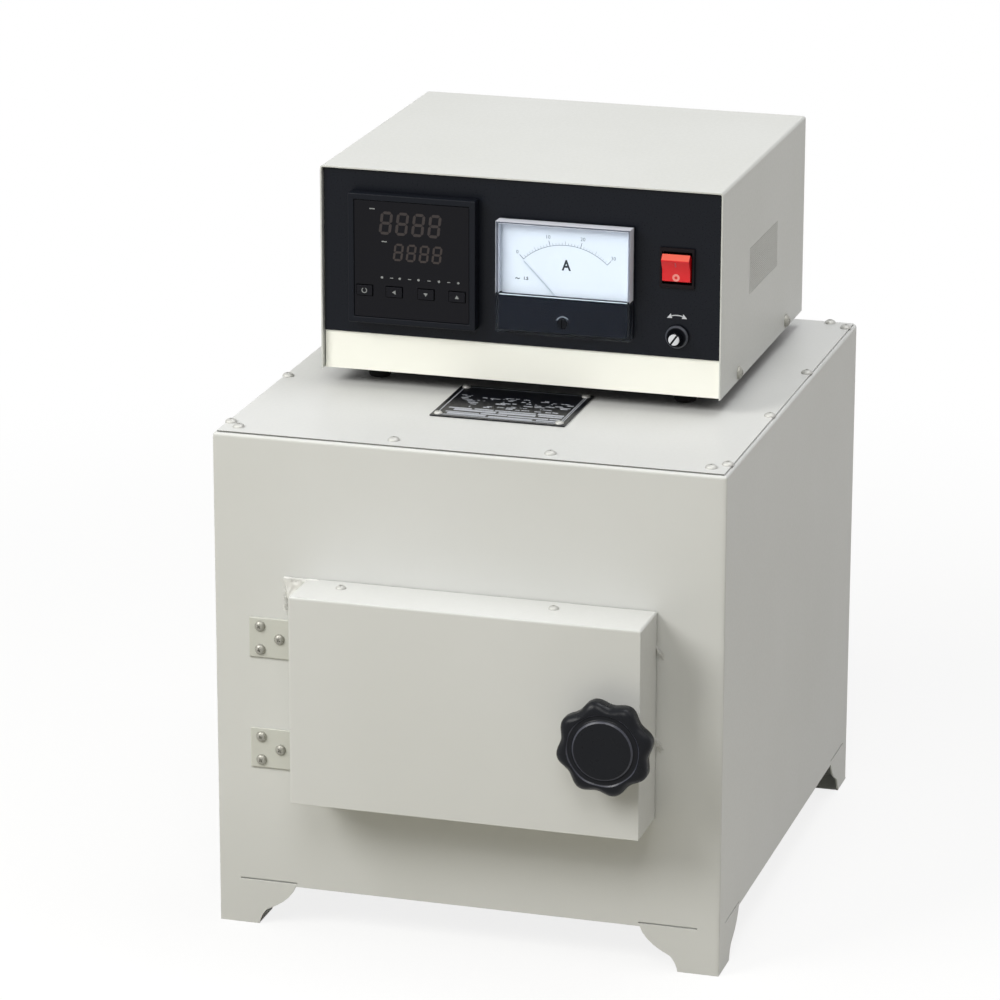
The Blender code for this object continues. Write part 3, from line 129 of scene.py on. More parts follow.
# The room is brighter overhead than at the height of the bench.
sky = add(tree, "ShaderNodeSeparateXYZ", {0: add(tree, "ShaderNodeTexCoord").outputs["Generated"]})
rise = add(tree, "ShaderNodeMapRange", {"Value": sky.outputs["Z"], "From Min": horizon, "From Max": zenith,
           "To Min": room_low, "To Max": room_high})
room_light = add(tree, "ShaderNodeBackground", {"Color": linear("#fdfdff"), "Strength": rise.outputs[0]})
backdrop = add(tree, "ShaderNodeBackground", {"Color": linear("#ffffff"), "Strength": 1.0})
both = add(tree, "ShaderNodeMixShader", {0: seen_directly(tree), 1: room_light.outputs[0],
           2: backdrop.outputs[0]})
add(tree, "ShaderNodeOutputWorld", {"Surface": both.outputs[0]})

bench_paint = bpy.data.materials.new("bench_white")
bench_paint.use_nodes = True
tree = bench_paint.node_tree
tree.nodes.clear()
place = add(tree, "ShaderNodeTexCoord").outputs["Object"]
reach = add(tree, "ShaderNodeVectorMath", {0: place}, operation="LENGTH")
fade = add(tree, "ShaderNodeMapRange", {"Value": reach.outputs["Value"], "From Min": bench_clear,
           "From Max": bench_white, "To Min": 1 - shadow_share, "To Max": 1}, interpolation_type="SMOOTHSTEP")
matt = add(tree, "ShaderNodeBsdfDiffuse", {"Color": linear("#f8f8f6")})
white = add(tree, "ShaderNodeEmission", {"Color": linear("#ffffff"), "Strength": 1.0})
shown = add(tree, "ShaderNodeMixShader", {0: fade.outputs[0], 1: matt.outputs[0], 2: white.outputs[0]})
# The bench that the kiln sees is darker and warmer than the one that the camera sees.
bounce = add(tree, "ShaderNodeBsdfDiffuse", {"Color": linear("#a8a493")})
surface = add(tree, "ShaderNodeMixShader", {0: seen_directly(tree), 1: bounce.outputs[0],
              2: shown.outputs[0]})
add(tree, "ShaderNodeOutputMaterial", {"Surface": surface.outputs[0]})
bench_mesh = bpy.data.meshes.new("bench")
corners = [(u * bench_half, v * bench_half, 0) for u, v in ((-1, -1), (1, -1), (1, 1), (-1, 1))]
bench_mesh.from_pydata(corners, [], [(0, 1, 2, 3)])
bench_mesh.materials.append(bench_paint)
put("bench", bench_mesh)

lamps = {
    # name: place, what it looks at, side, watts, colour
    "window": ((-1.75, -1.85, 2.05), (0, 0, 0.25), 1.5, 60, "#fffefa"),
    "skylight": ((0.6, 0.3, 3.0), (0, 0, 0.3), 1.2, 24, "#fbfdff"),
    "doorway": ((0.3, -2.1, 2.4), (0, 0, 0.3), 1.2, 21, "#fffefa"),
    "side_window": ((1.9, -0.3, 2.4), (0, 0, 0.3), 1.5, 10, "#fffafa"),
}
for name, (where, target, side, watts, colour) in lamps.items():
    glow = bpy.data.lights.new(name, "AREA")
    glow.shape = "SQUARE"
    glow.size = side
    glow.energy = watts
    glow.color = linear(colour)[:3]
    lamp = put(name, glow)
    lamp.location = where
    lamp.rotation_euler = aimed(Vector(target) - Vector(where))


# Casing: shell, floor, rear panel and lid
# Folded 1.2 mm steel sheet, spot-welded into a box on four ogee feet, with a doubled hem round the top.
# The lid, the rear panel and the floor are separate plates. All is stoved in one light grey enamel.
weld = 0.00001
corner_bend = 0.0042        # outside radius where the sheet is folded
hem_round = 0.0019          # rounding of the doubled top edge
lid_stand = 0.0011          # the lid stands this far over the hem
cut_edge = 0.00022          # rounding that the enamel gives to a cut edge
flat_angle = math.radians(0.6)
fold_angle = math.radians(30)
crease_angle = math.radians(38)
most_of_noise = (0.3, 0.7)  # nearly all the values of a noise lie between these
cloud_size = 0.16           # slow unevenness of the enamel
peel_size = 0.0026          # orange peel, drawn coarser than the real 1 mm so that it shows
peel_depth = 0.00005


def start(name, **values):
    """A new material, and the tree, the Principled shader and the piece's own coordinates for its nodes."""
    made = bpy.data.materials.new(name)
    made.use_nodes = True
    tree = made.node_tree
    shader = tree.nodes["Principled BSDF"]
    for socket, value in values.items():
        shader.inputs[socket.replace("_", " ")].default_value = value
    return made, (tree, shader, add(tree, "ShaderNodeTexCoord").outputs["Object"])


def clouded(tree, shader, place, size, dark, light, contrast=(0, 1), **noise_values):
    """Gives the shader a colour that drifts between two tones in clouds of one size, and returns it."""
    cloud = add(tree, "ShaderNodeTexNoise", {"Vector": place, "Scale": 1 / size, "Detail": 4, **noise_values})
    spread = add(tree, "ShaderNodeMapRange", {"Value": cloud.outputs[0], "From Min": contrast[0],
                 "From Max": contrast[1]})
    tone = add(tree, "ShaderNodeMix", {0: spread.outputs[0], 6: linear(dark), 7: linear(light)},
               data_type="RGBA").outputs[2]
    tree.links.new(tone, shader.inputs["Base Color"])
    return tone


def worked(tree, shader, place, grain, shine=None, depth=0, strength=0.4, contrast=most_of_noise,
           **noise_values):
    """Gives the shader one grain that its gloss follows, between two limits, and its height, so deep."""
    texture = add(tree, "ShaderNodeTexNoise", {"Vector": place, "Scale": 1 / grain, "Detail": 3,
                  **noise_values})
    if shine:
        gloss = add(tree, "ShaderNodeMapRange", {"Value": texture.outputs[0], "From Min": contrast[0],
                    "From Max": contrast[1], "To Min": shine[0], "To Max": shine[1]})
        tree.links.new(gloss.outputs[0], shader.inputs["Roughness"])
    if depth:
        bump = add(tree, "ShaderNodeBump", {"Height": texture.outputs[0], "Strength": strength,
                   "Distance": depth})
        tree.links.new(bump.outputs[0], shader.inputs["Normal"])


def enamel(name, light, dark, shine):
    """Stoved enamel on sheet: dust-soft gloss, orange peel, and a colour that is never quite even."""
    made, parts = start(name)
    clouded(*parts, cloud_size, dark, light, most_of_noise)
    worked(*parts, peel_size, (shine - 0.06, shine + 0.06), peel_depth, strength=0.35, Detail=2)
    return made


def evaluated(holder):
    """The finished mesh of an object, which is then removed."""
    depsgraph = bpy.context.evaluated_depsgraph_get()
    mesh = bpy.data.meshes.new_from_object(holder.evaluated_get(depsgraph), depsgraph=depsgraph)
    bpy.data.objects.remove(holder)
    return mesh


def baked(mesh, kind, **settings):
    """The mesh as one modifier leaves it."""
    holder = put("holder", mesh)
    modifier = holder.modifiers.new("finish", kind)
    for name, value in settings.items():
        setattr(modifier, name, value)
    return evaluated(holder)


def mesh_of(bm, name):
    """The mesh of a finished bmesh."""
    mesh = bpy.data.meshes.new(name)
    bm.to_mesh(mesh)
    bm.free()
    return mesh


def soften(mesh, width=0, segments=2, limit="ANGLE"):
    """Rounds the mesh's sharp edges and shades it smooth up to them."""
    if width:
        mesh = baked(mesh, "BEVEL", width=width, segments=segments, use_clamp_overlap=False,
                     limit_method=limit, angle_limit=fold_angle)
    mesh.shade_smooth()
    mesh.set_sharp_from_angle(angle=crease_angle)
    return baked(mesh, "WEIGHTED_NORMAL", keep_sharp=True, weight=100)


def solid_of(node):
    """A CAD node's own shape, its loose triangles joined and its flat faces made whole."""
    bm = bmesh.new()
    bm.from_mesh(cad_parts[node].data)
    bmesh.ops.remove_doubles(bm, verts=bm.verts, dist=weld)
    bmesh.ops.dissolve_limit(bm, angle_limit=flat_angle, verts=bm.verts, edges=bm.edges)
    return bm


def rounded(node, width, share=None, segments=2, bm=None):
    """A CAD node's shape, or the one given, with rounded edges. share gives an edge its share of the width."""
    bm = bm or solid_of(node)
    weights = bm.edges.layers.float.new("bevel_weight_edge")
    for edge in bm.edges:
        if len(edge.link_faces) == 2 and edge.calc_face_angle() > fold_angle:
            edge[weights] = share((edge.verts[0].co + edge.verts[1].co) / 2) if share else 1
    return soften(mesh_of(bm, node), width, segments, "WEIGHT")


def fit(name, mesh, finish, body, slot, *nodes, second=None):
    """Puts a piece in place: its finish, the body it moves with and the nodes it stands for.

    Where it has two finishes, the faces that pass the test second, or that are marked, take the second.
    """
    finishes = finish if isinstance(finish, list) else [finish]
    marks = [face.material_index for face in mesh.polygons]
    mesh.materials.clear()
    for one in finishes:
        mesh.materials.append(one)
    if len(finishes) == 2:
        for face, mark in zip(mesh.polygons, marks):
            face.material_index = int(second(face)) if second else mark
    mesh.name = name
    piece = put(name, mesh)
    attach(piece, body)
    if nodes:
        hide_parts(*nodes)


def dress(name, node, edge, finish, body, slot, second=None, **shape):
    """A piece that is one CAD node with its edges rounded."""
    fit(name, rounded(node, edge, **shape), finish, body, slot, node, second=second)


shell_low, shell_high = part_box("casing_shell")
panel_y = shell_low.y       # the front panel's face
hem_top = shell_high.z - lid_stand


def shell_share(middle):
    """The folds at the casing's corners and the hem are round, and the cut edges only eased."""
    side = abs(middle.x) > shell_high.x - weld
    face = middle.y < panel_y + weld or middle.y > shell_high.y - weld
    top = middle.z > hem_top - weld
    if side and face:
        return 1
    if top and (side or face):
        return hem_round / corner_bend
    return cut_edge / corner_bend if side or face or top else 0


casing_enamel = enamel("casing_enamel", "#d8d9d7", "#d3d4d1", 0.42)
shell_solid = solid_of("casing_shell")
for corner in shell_solid.verts:
    if corner.co.z > shell_high.z - weld:
        corner.co.z = hem_top
dress("shell_enamelled", "casing_shell", corner_bend, casing_enamel, "root", "casing_paint",
      share=shell_share, segments=4, bm=shell_solid)
for node in ("bottom_plate", "rear_panel"):
    dress(node + "_enamelled", node, cut_edge, casing_enamel, "root", "casing_paint")
# The lid's front edge is painted dark, a painted shade line where the lid stands over the hem.
lid_edge_shade_paint = enamel("painted_shade_edge", "#7b7c78", "#666763", 0.6)
lid_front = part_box("top_cover")[0].y
dress("top_cover_enamelled", "top_cover", cut_edge / 2, [casing_enamel, lid_edge_shade_paint], "root", "casing_paint",
      second=lambda face: abs(face.center.y - lid_front) < weld)


# Screws of the lid and the rear panel
# Nickelled steel mushroom heads with a cross recess, driven into the flanges behind the sheet. Each one
# stopped at its own turn.
head_radius = 0.004
# (radius, height over the seat), as shares of the head's radius
head_profile_shares = ((1, 0), (1, 0.10), (0.95, 0.24), (0.80, 0.41), (0.56, 0.55), (0.28, 0.63), (0, 0.65))
head_sides = 20
shank_radius = 0.0017
shank_length = 0.0024
recess_length = 0.0030      # from tip to tip of the cross
recess_width = 0.0008
recess_floor = 0.0013       # above the seat
front_row, front_reach = 0.0145, 0.1727     # the lid's front row: behind the panel, and its last screws
rear_row, rear_reach = 0.0070, 0.1675       # and its rear row: before the back
inner_reach = 0.0572        # both rows' inner screws, from the middle
side_inset = 0.0055
side_places = (0.0247, 0.150, 0.268, 0.400)     # behind the panel
rear_half_width, rear_half_height, rear_middle = 0.1575, 0.1275, 0.205


def metal(name, colour, shine, grain, depth, stretch=(1, 1, 1), dull=0.12, clean=1):
    """Bare or plated metal: an even tone whose gloss and height vary with the grain of its working."""
    made, (tree, shader, place) = start(name, Base_Color=linear(colour), Metallic=clean)
    laid = add(tree, "ShaderNodeMapping", {"Vector": place, "Scale": stretch})
    worked(tree, shader, laid.outputs[0], grain, (shine, shine + dull), depth)
    return made


def around(sides):
    """The turns of as many points round a circle."""
    return [2 * math.pi * i / sides for i in range(sides)]


def skin(bm, rings, ends=True):
    """Faces over rings that have as many points each, and over both ends. Returns them band by band."""
    bands = []
    for low, high in zip(rings, rings[1:]):
        fields = [(low[i - 1], low[i], high[i], high[i - 1]) for i in range(len(low))]
        bands.append([bm.faces.new(list(dict.fromkeys(field))) for field in fields])
    if ends:
        bm.faces.new(rings[0][::-1])
        bm.faces.new(rings[-1])
    return bands


def turned(profile, sides):
    """A closed turned shape round Z from (radius, height) points, the first and last on the axis."""
    bm = bmesh.new()
    rings = [[bm.verts.new((radius * math.cos(a), radius * math.sin(a), height)) for a in around(sides)]
             if radius else [bm.verts.new((0, 0, height))] * sides for radius, height in profile]
    skin(bm, rings, ends=False)
    bmesh.ops.recalc_face_normals(bm, faces=bm.faces)
    return mesh_of(bm, "turned")


def carved(mesh, *boxes):
    """The mesh with boxes cut out of it, each given by two corners."""
    bm = bmesh.new()
    for low, high in boxes:
        low, high = Vector(low), Vector(high)
        place = Matrix.Translation((low + high) / 2) @ Matrix.Diagonal((*(high - low), 1))
        bmesh.ops.create_cube(bm, size=1, matrix=place)
    cutter = bpy.data.objects.new("cutter", mesh_of(bm, "cutter"))
    mesh = baked(mesh, "BOOLEAN", object=cutter, operation="DIFFERENCE", solver="EXACT",
                 use_self=len(boxes) > 1)
    bpy.data.objects.remove(cutter)
    return mesh


def pattern_tree(name, **inputs):
    """A Geometry Nodes tree that takes points, a piece to stand on each and its finish."""
    tree = bpy.data.node_groups.new(name, "GeometryNodeTree")
    inputs = {"Geometry": "Geometry", "Piece": "Object", "Finish": "Material", **inputs}
    for socket, kind in inputs.items():
        tree.interface.new_socket(socket, in_out="INPUT", socket_type="NodeSocket" + kind)
    tree.interface.new_socket("Geometry", in_out="OUTPUT", socket_type="NodeSocketGeometry")
    return tree, add(tree, "NodeGroupInput").outputs


def end_tree(tree, given, placing, merge=0):
    """Stands the piece on the points, makes the copies real and gives them their finish."""
    shape = add(tree, "GeometryNodeObjectInfo", {"Object": given["Piece"]})
    placed = add(tree, "GeometryNodeInstanceOnPoints", {"Points": given["Geometry"],
                 "Instance": shape.outputs["Geometry"], **placing})
    real = add(tree, "GeometryNodeRealizeInstances", {"Geometry": placed.outputs[0]})
    if merge:
        real = add(tree, "GeometryNodeMergeByDistance", {"Geometry": real.outputs[0], "Distance": merge})
    finished = add(tree, "GeometryNodeSetMaterial", {"Geometry": real.outputs[0],
                   "Material": given["Finish"]})
    add(tree, "NodeGroupOutput", {"Geometry": finished.outputs[0]})


def copied(tree, piece_mesh, points, finish, **values):
    """The tree's copies of a mesh on these points, as one mesh."""
    piece = put("piece", piece_mesh)
    holder = put("holder", points)
    pattern = holder.modifiers.new("pattern", "NODES")
    pattern.node_group = tree
    sockets = {item.name: item.identifier for item in tree.interface.items_tree if item.in_out == "INPUT"}
    for name, value in {"Piece": piece, "Finish": finish, **values}.items():
        pattern[sockets[name]] = value
    mesh = evaluated(holder)
    bpy.data.objects.remove(piece)
    return mesh


screw_tree, given = pattern_tree("screws_on_their_seats", Size="Float", Seed="Int")
way = add(screw_tree, "GeometryNodeInputNamedAttribute", {"Name": "direction"}, data_type="FLOAT_VECTOR")
stand_up = add(screw_tree, "FunctionNodeAlignRotationToVector", {"Vector": way.outputs["Attribute"]},
               axis="Z")
any_turn = add(screw_tree, "FunctionNodeRandomValue", {3: math.pi, "Seed": given["Seed"]})
spun = add(screw_tree, "FunctionNodeAxisAngleToRotation", {"Angle": any_turn.outputs[1]})
both = add(screw_tree, "FunctionNodeRotateRotation", {0: stand_up.outputs[0], 1: spun.outputs[0]},
           rotation_space="LOCAL")
end_tree(screw_tree, given, {"Rotation": both.outputs[0], "Scale": given["Size"]})
profile = [(0, -shank_length), (shank_radius, -shank_length), (shank_radius, 0)]
profile += [(head_radius * radius, head_radius * height) for radius, height in head_profile_shares]
tip, flank, above = recess_length / 2, recess_width / 2, 2 * head_radius
screw_shape = carved(turned(profile, head_sides), ((-tip, -flank, recess_floor), (tip, flank, above)),
                     ((-flank, -tip, recess_floor), (flank, tip, above)))
screw_shape.shade_smooth()
screw_shape.set_sharp_from_angle(angle=crease_angle)


def screws(name, seats, finish, body, size=1, seed=0):
    """Screws on their seats, each a (place, direction), as one piece."""
    points = bpy.data.meshes.new(name)
    points.from_pydata([place for place, way in seats], [], [])
    ways = points.attributes.new("direction", "FLOAT_VECTOR", "POINT")
    ways.data.foreach_set("vector", [c for place, way in seats for c in way])
    fit(name, copied(screw_tree, screw_shape, points, finish, Size=size, Seed=seed), finish, body, "steel")


# Nickel plate: a soft mirror with fine swirls from the barrel it was plated in.
nickel = metal("nickel_plated_steel", "#a09f97", 0.24, 0.0012, 0.00002, clean=0.35)
# The casing's own screws went dull in the oven that dried it.
dulled_nickel = metal("dulled_nickel", "#c0c0bc", 0.42, 0.0012, 0.00003, clean=0.3)
lid_rows = ((panel_y + front_row, front_reach), (shell_high.y - rear_row, rear_reach))
lid_seats = [((x, y, shell_high.z), (0, 0, 1)) for y, end in lid_rows
             for x in (-end, -inner_reach, inner_reach, end)]
lid_seats += [((side * (shell_high.x - side_inset), panel_y + y, shell_high.z), (0, 0, 1))
              for side in (-1, 1) for y in side_places]
screws("lid_screws", lid_seats, dulled_nickel, "root", size=1.08, seed=1)
panel_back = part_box("rear_panel")[1].y
rear_seats = [((u * rear_half_width, panel_back, rear_middle + v * rear_half_height), (0, 1, 0))
              for u in (-1, 0, 1) for v in (-1, 0, 1) if (u, v) != (0, 0)]
screws("rear_panel_screws", rear_seats, nickel, "root", seed=2)


# Nameplate
# A thin aluminium plate, anodised black with its form lines left bare, held by four small screws. Its
# fields are empty.
plate_line = 0.0007
plate_film = 0.00006
plate_margin = 0.0034
plate_rows = 7
field_margin = 0.0035
shortest = 0.003            # no mark starts nearer than this to the end of its field
# Where the marks of a row lie, as (foot, height) in shares of the row, how long they are and how far apart.
painted_reflection_bands = (((0.06, 0.40), (0.54, 0.34)), (0.014, 0.034), (0.0005, 0.003))
scratches = (((0.12, 0.20), (0.42, 0.16), (0.72, 0.14)), (0.001, 0.008), (0.0006, 0.0040))
scratch_chance = 0.42
plate_screw_x, plate_screw_y = 0.0451, 0.0355
# Anodised: satin black with faint rolling lines across the plate.
anodised, (tree, shader, place) = start("black_anodised_aluminium", Metallic=0.55, Roughness=0.3)
clouded(tree, shader, place, 0.012, "#101218", "#1d2027")
brushed = add(tree, "ShaderNodeMapping", {"Vector": place, "Scale": (1, 12, 1)})
worked(tree, shader, brushed.outputs[0], 0.004, depth=0.00003, strength=0.3, Detail=2)
dress("nameplate_blank", "nameplate", 0.00015, anodised, "root", "nameplate")


def laid_on(outlines, base, thick, lift):
    """Thin closed prisms on flat outlines. lift turns an outline's point and a height into a place."""
    bm = bmesh.new()
    for outline in outlines:
        skin(bm, [[bm.verts.new(lift(u, v, w)) for u, v in outline] for w in (base, base + thick)])
    bmesh.ops.recalc_face_normals(bm, faces=bm.faces)
    return mesh_of(bm, "laid_on")


def bar(left, low, right, high):
    return [(left, low), (right, low), (right, high), (left, high)]


def lying(u, v, w):
    return u, v, w


plate_low, plate_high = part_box("nameplate")
left, right = plate_low.x + plate_margin, plate_high.x - plate_margin
near, far = plate_low.y + plate_margin, plate_high.y - plate_margin
row = (far - near) / plate_rows
gap = 2 * plate_line        # between the two lines of the frame's near and right sides
ruling = [bar(left, near, right, near + plate_line), bar(left, far - plate_line, right, far),
          bar(left, near, left + plate_line, far), bar(right - plate_line, near, right, far),
          bar(left, near + gap, right - gap, near + gap + plate_line),
          bar(right - gap - plate_line, near + gap, right - gap, far)]
# Long bright bands in the two fields near the front are painted reflection of the light; behind them a few broken
# scratches are wear.
plate_marks_random = random.Random(5)
for i in range(plate_rows - 2):
    low = near + gap + plate_line + i * row
    painted_reflection_row = i < 2
    lanes, lengths, breaks = painted_reflection_bands if painted_reflection_row else scratches
    for foot_share, tall_share in lanes:
        x = left + field_margin + plate_marks_random.uniform(0, 0.006)
        while x < right - field_margin - shortest:
            end = min(x + plate_marks_random.uniform(*lengths), right - field_margin)
            drop = plate_marks_random.uniform(-0.06, 0.06) * row
            shown = painted_reflection_row or plate_marks_random.random() < scratch_chance
            top_share = foot_share + tall_share * plate_marks_random.uniform(0.55, 1)
            if shown:
                ruling.append(bar(x, low + foot_share * row + drop, end, low + top_share * row + drop))
            x = end + plate_marks_random.uniform(*breaks)
# Bare aluminium under the anodising, bright, with the grain of the rolled sheet; also the painted reflection
# bands.
aluminium_and_painted_reflection = metal("aluminium_and_painted_reflection", "#b6bac3", 0.34, 0.003, 0.00002, (1, 10, 1), clean=0.3)
fit("nameplate_lines", laid_on(ruling, plate_high.z, plate_film, lying), aluminium_and_painted_reflection, "root", "nameplate")
plate_middle = (plate_low + plate_high) / 2
plate_seats = [((plate_middle.x + u * plate_screw_x, plate_middle.y + v * plate_screw_y, plate_high.z),
                (0, 0, 1)) for u in (-1, 1) for v in (-1, 1)]
screws("nameplate_screws", plate_seats, dulled_nickel, "root", size=0.8, seed=3)


# Insulation boards
# Vacuum-formed alumina-silica fibre boards, cut square and packed round the muffle. They are off-white,
# matt and a little furry, with darker shot in them.
clump_size = 0.009
shot_pitch = 0.0045
hair_size = 0.0016          # drawn coarser than the real fibre, so that it shows
patchy = (0.35, 0.65)
board_edge = 0.0008


def speckled(tree, shader, place, tone, pitch, rim, share, colour):
    """Lays specks over the shader's colour. Each fades out between two shares of its pitch."""
    cells = add(tree, "ShaderNodeTexVoronoi", {"Vector": place, "Scale": 1 / pitch})
    speck = add(tree, "ShaderNodeMapRange", {"Value": cells.outputs["Distance"], "From Min": rim[0],
                "From Max": rim[1], "To Min": share, "To Max": 0})
    spotted = add(tree, "ShaderNodeMix", {0: speck.outputs[0], 6: tone, 7: linear(colour)}, data_type="RGBA")
    tree.links.new(spotted.outputs[2], shader.inputs["Base Color"])


def fibre(name, light, dark, fur, shot_share=0.55):
    """Matt ceramic fibre: matted clumps, specks of shot and a furry surface."""
    made, parts = start(name, Roughness=0.95, Specular_IOR_Level=0.15)
    tone = clouded(*parts, clump_size, dark, light, patchy, Detail=6, Roughness=0.65)
    speckled(*parts, tone, shot_pitch, (0.06, 0.11), shot_share, "#8b7c66")
    worked(*parts, hair_size, depth=fur, strength=0.8, Detail=4, Distortion=1.5)
    return made


fibre_board = fibre("ceramic_fibre_board", "#ece7db", "#ddd5c4", 0.0004)
for side in ("base", "roof", "side_left", "side_right", "rear", "front"):
    node = "insulation_" + side
    dress(node + "_board", node, board_edge, fibre_board, "root", "fibre_board")


# Muffle
# A slip-cast fireclay box, open at the front, that holds the ware. It is buff, dry and sandy, and the
# heat has browned it in clouds.
browning_size = 0.05
grog_pitch = 0.003
sand_size = 0.0012
fireclay, parts = start("fired_fireclay", Roughness=0.85, Specular_IOR_Level=0.3)
tone = clouded(*parts, browning_size, "#d9c8a8", "#e9dfca", patchy, Detail=5)
speckled(*parts, tone, grog_pitch, (0.05, 0.1), 0.7, "#7a5b3c")
worked(*parts, sand_size, depth=0.0002, strength=0.5)
for node, edge in (("muffle", 0.0016), ("terminal_block", 0.0004), ("thermocouple_sheath", 0.0004)):
    dress(node + "_fired", node, edge, fireclay, "root", "muffle")


# Heating element, its terminals and the thermocouple
# Iron-chromium wire wound round the muffle, grey and scaled by its oxide. Brass studs clamp its ends,
# and the thermocouple's head is moulded in black phenolic.
scaled_wire = metal("oxidised_resistance_wire", "#6d675f", 0.5, 0.002, 0.00008, dull=0.25)
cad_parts["heating_element"].material_slots[0].material = scaled_wire
# Machined brass: warm, with the tool's rings round it.
turned_brass = metal("machined_brass", "#c8a55c", 0.25, 0.0015, 0.00003, (1, 8, 1))
for side in ("left", "right"):
    node = "terminal_stud_" + side
    dress(node + "_brass", node, 0.0002, turned_brass, "root", "brass")


def moulded(name, colour, shine, grain, depth, specular=0.3):
    """A plastic moulding: one colour, with the fine grain that the tool left on it."""
    made, parts = start(name, Base_Color=linear(colour), Specular_IOR_Level=specular)
    worked(*parts, grain, (shine - 0.05, shine + 0.08), depth)
    return made


# Phenolic: a hard, faintly wavy gloss over a near-black body.
phenolic = moulded("black_phenolic", "#111318", 0.3, 0.006, 0.00006, specular=0.16)
dress("thermocouple_head_moulded", "thermocouple_head", 0.0008, phenolic, "root", "black_plastic")


# Gasket round the mouth
# A frame cut from ceramic fibre blanket and squeezed between door and panel. Its corner has torn out past
# the door at the upper left, and loose tufts stand out along its edges.
gasket_voxel = 0.0013
lump_size, lump_rise = 0.006, 0.0007
curd_size, curd_rise = 0.0023, 0.0004
squeeze = 0.15              # what is left of both across the squeezed blanket
torn_drop = 0.0287          # how far the torn corner hangs down the door's side
torn_thin, torn_full = 0.62, 0.96       # share of its reach that is left at its lower and upper end
ragged_size, ragged_rise, ragged_reach = 0.0055, 0.0016, 0.006
dent_size, dent_depth, dent_reach = 0.0042, 0.0018, 0.003
noise_seed = 1796101322     # without one the noise takes the clock's, and no two runs are alike
noise.seed_set(noise_seed)
blanket = fibre("ceramic_fibre_blanket", "#eeeeec", "#dededa", 0.0006, 0.06)
gasket_low, gasket_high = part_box("mouth_gasket")
door_low, door_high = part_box("door_pan")
tuft_foot = door_high.z - torn_drop
gasket_mesh = baked(mesh_of(solid_of("mouth_gasket"), "gasket"), "REMESH", mode="VOXEL",
                    voxel_size=gasket_voxel)
for vertex in gasket_mesh.vertices:
    place = vertex.co.copy()
    push = noise.noise_vector(place / lump_size) * lump_rise
    push += noise.noise_vector(place / curd_size) * curd_rise
    push.y *= squeeze
    out = door_low.x - place.x
    if out > 0:
        # The torn corner is ragged, pulled thin at its lower end, and dented.
        up = min(max((place.z - tuft_foot) / (gasket_high.z - tuft_foot), 0), 1)
        place.x = door_low.x - out * (torn_thin + (torn_full - torn_thin) * up)
        push += noise.noise_vector(vertex.co / ragged_size) * ragged_rise * min(out / ragged_reach, 1)
        if vertex.co.y < (gasket_low.y + gasket_high.y) / 2:
            dent = max(0, noise.noise(vertex.co / dent_size)) * dent_depth
            place.y += dent * min(out / dent_reach, 1)
    moved = place + push
    moved.x = max(moved.x, gasket_low.x)
    moved.y = min(max(moved.y, gasket_low.y), gasket_high.y)
    moved.z = min(max(moved.z, gasket_low.z), gasket_high.z)
    vertex.co = moved
gasket_mesh.shade_smooth()
fit("gasket_torn", gasket_mesh, blanket, "root", "fibre_board", "mouth_gasket")

tuft_fibres = 220
tuft_thick = 0.00016
fibre_sides = 4
fibre_steps = 4
fibre_taper = 0.7
tuft_random = random.Random(11)
slit_back = panel_y - 0.0004        # the slit between the door's pan and the panel
slit_front = panel_y - 0.0007
torn = (gasket_low.y + 0.0004, gasket_high.y - 0.0004)
wisp = (panel_y - 0.0030, slit_back)
wisp_x = gasket_high.x - 0.0004
# Each tuft: its foot and how far that spreads, which way it stands, all as (x, z), how wildly, how long and
# thick its fibres are, how many there are, and between which depths they lie.
tufts = (((gasket_low.x + 0.010, door_high.z - 0.002), (0.008, 0.001), (-0.15, 1), 0.5, 0.0014, tuft_thick,
          tuft_fibres, torn),
         ((gasket_low.x + 0.003, door_high.z - 0.013), (0.0012, 0.012), (-1, 0.1), 0.5, 0.0022, tuft_thick,
          tuft_fibres, torn),
         ((gasket_low.x + 0.009, tuft_foot + 0.001), (0.006, 0.001), (-0.3, -1), 0.5, 0.0020, tuft_thick,
          tuft_fibres // 2, torn),
         ((wisp_x, 0.2452), (0.0002, 0.0010), (0.6, -0.75), 0.12, 0.0116, 2 * tuft_thick,
          tuft_fibres // 4, wisp),
         ((wisp_x, 0.1768), (0.0002, 0.0012), (0.55, -0.75), 0.20, 0.0112, 2 * tuft_thick,
          tuft_fibres // 4, wisp))


def upright(u, v):
    """A vector in the plane of the front panel."""
    return Vector((u, 0, v))


bm = bmesh.new()
for root, spread, way, wild, length, thick, count, depths in tufts:
    for _ in range(count):
        at = upright(*root) + Vector([tuft_random.uniform(-1, 1) * s for s in upright(*spread)])
        at.y = tuft_random.uniform(*depths)
        heading = upright(*way).normalized() + Vector([tuft_random.uniform(-wild, wild) for _ in range(3)])
        heading.y *= 0.2
        curl = upright(tuft_random.uniform(-wild, wild), tuft_random.uniform(-wild, wild))
        reach = length * tuft_random.uniform(0.4, 1.0)
        rings = []
        for i in range(fibre_steps + 1):
            t = i / fibre_steps
            centre = at + heading * reach * t + curl * reach * t * t
            inside_slit = depths is wisp and centre.x < door_high.x + thick
            centre.y = min(max(centre.y, slit_front if inside_slit else depths[0]), depths[1])
            centre.x = max(centre.x, gasket_low.x)
            turn = (heading + curl * 2 * t).normalized().to_track_quat("Z", "Y").to_matrix()
            radius = thick * (1 - fibre_taper * t)
            rings.append([bm.verts.new(centre + turn @ Vector((radius * math.cos(a), radius * math.sin(a), 0)))
                          for a in around(fibre_sides)])
        skin(bm, rings)
tuft_mesh = mesh_of(bm, "tufts")
tuft_mesh.shade_smooth()
fit("gasket_tufts", tuft_mesh, blanket, "root", "fibre_board")


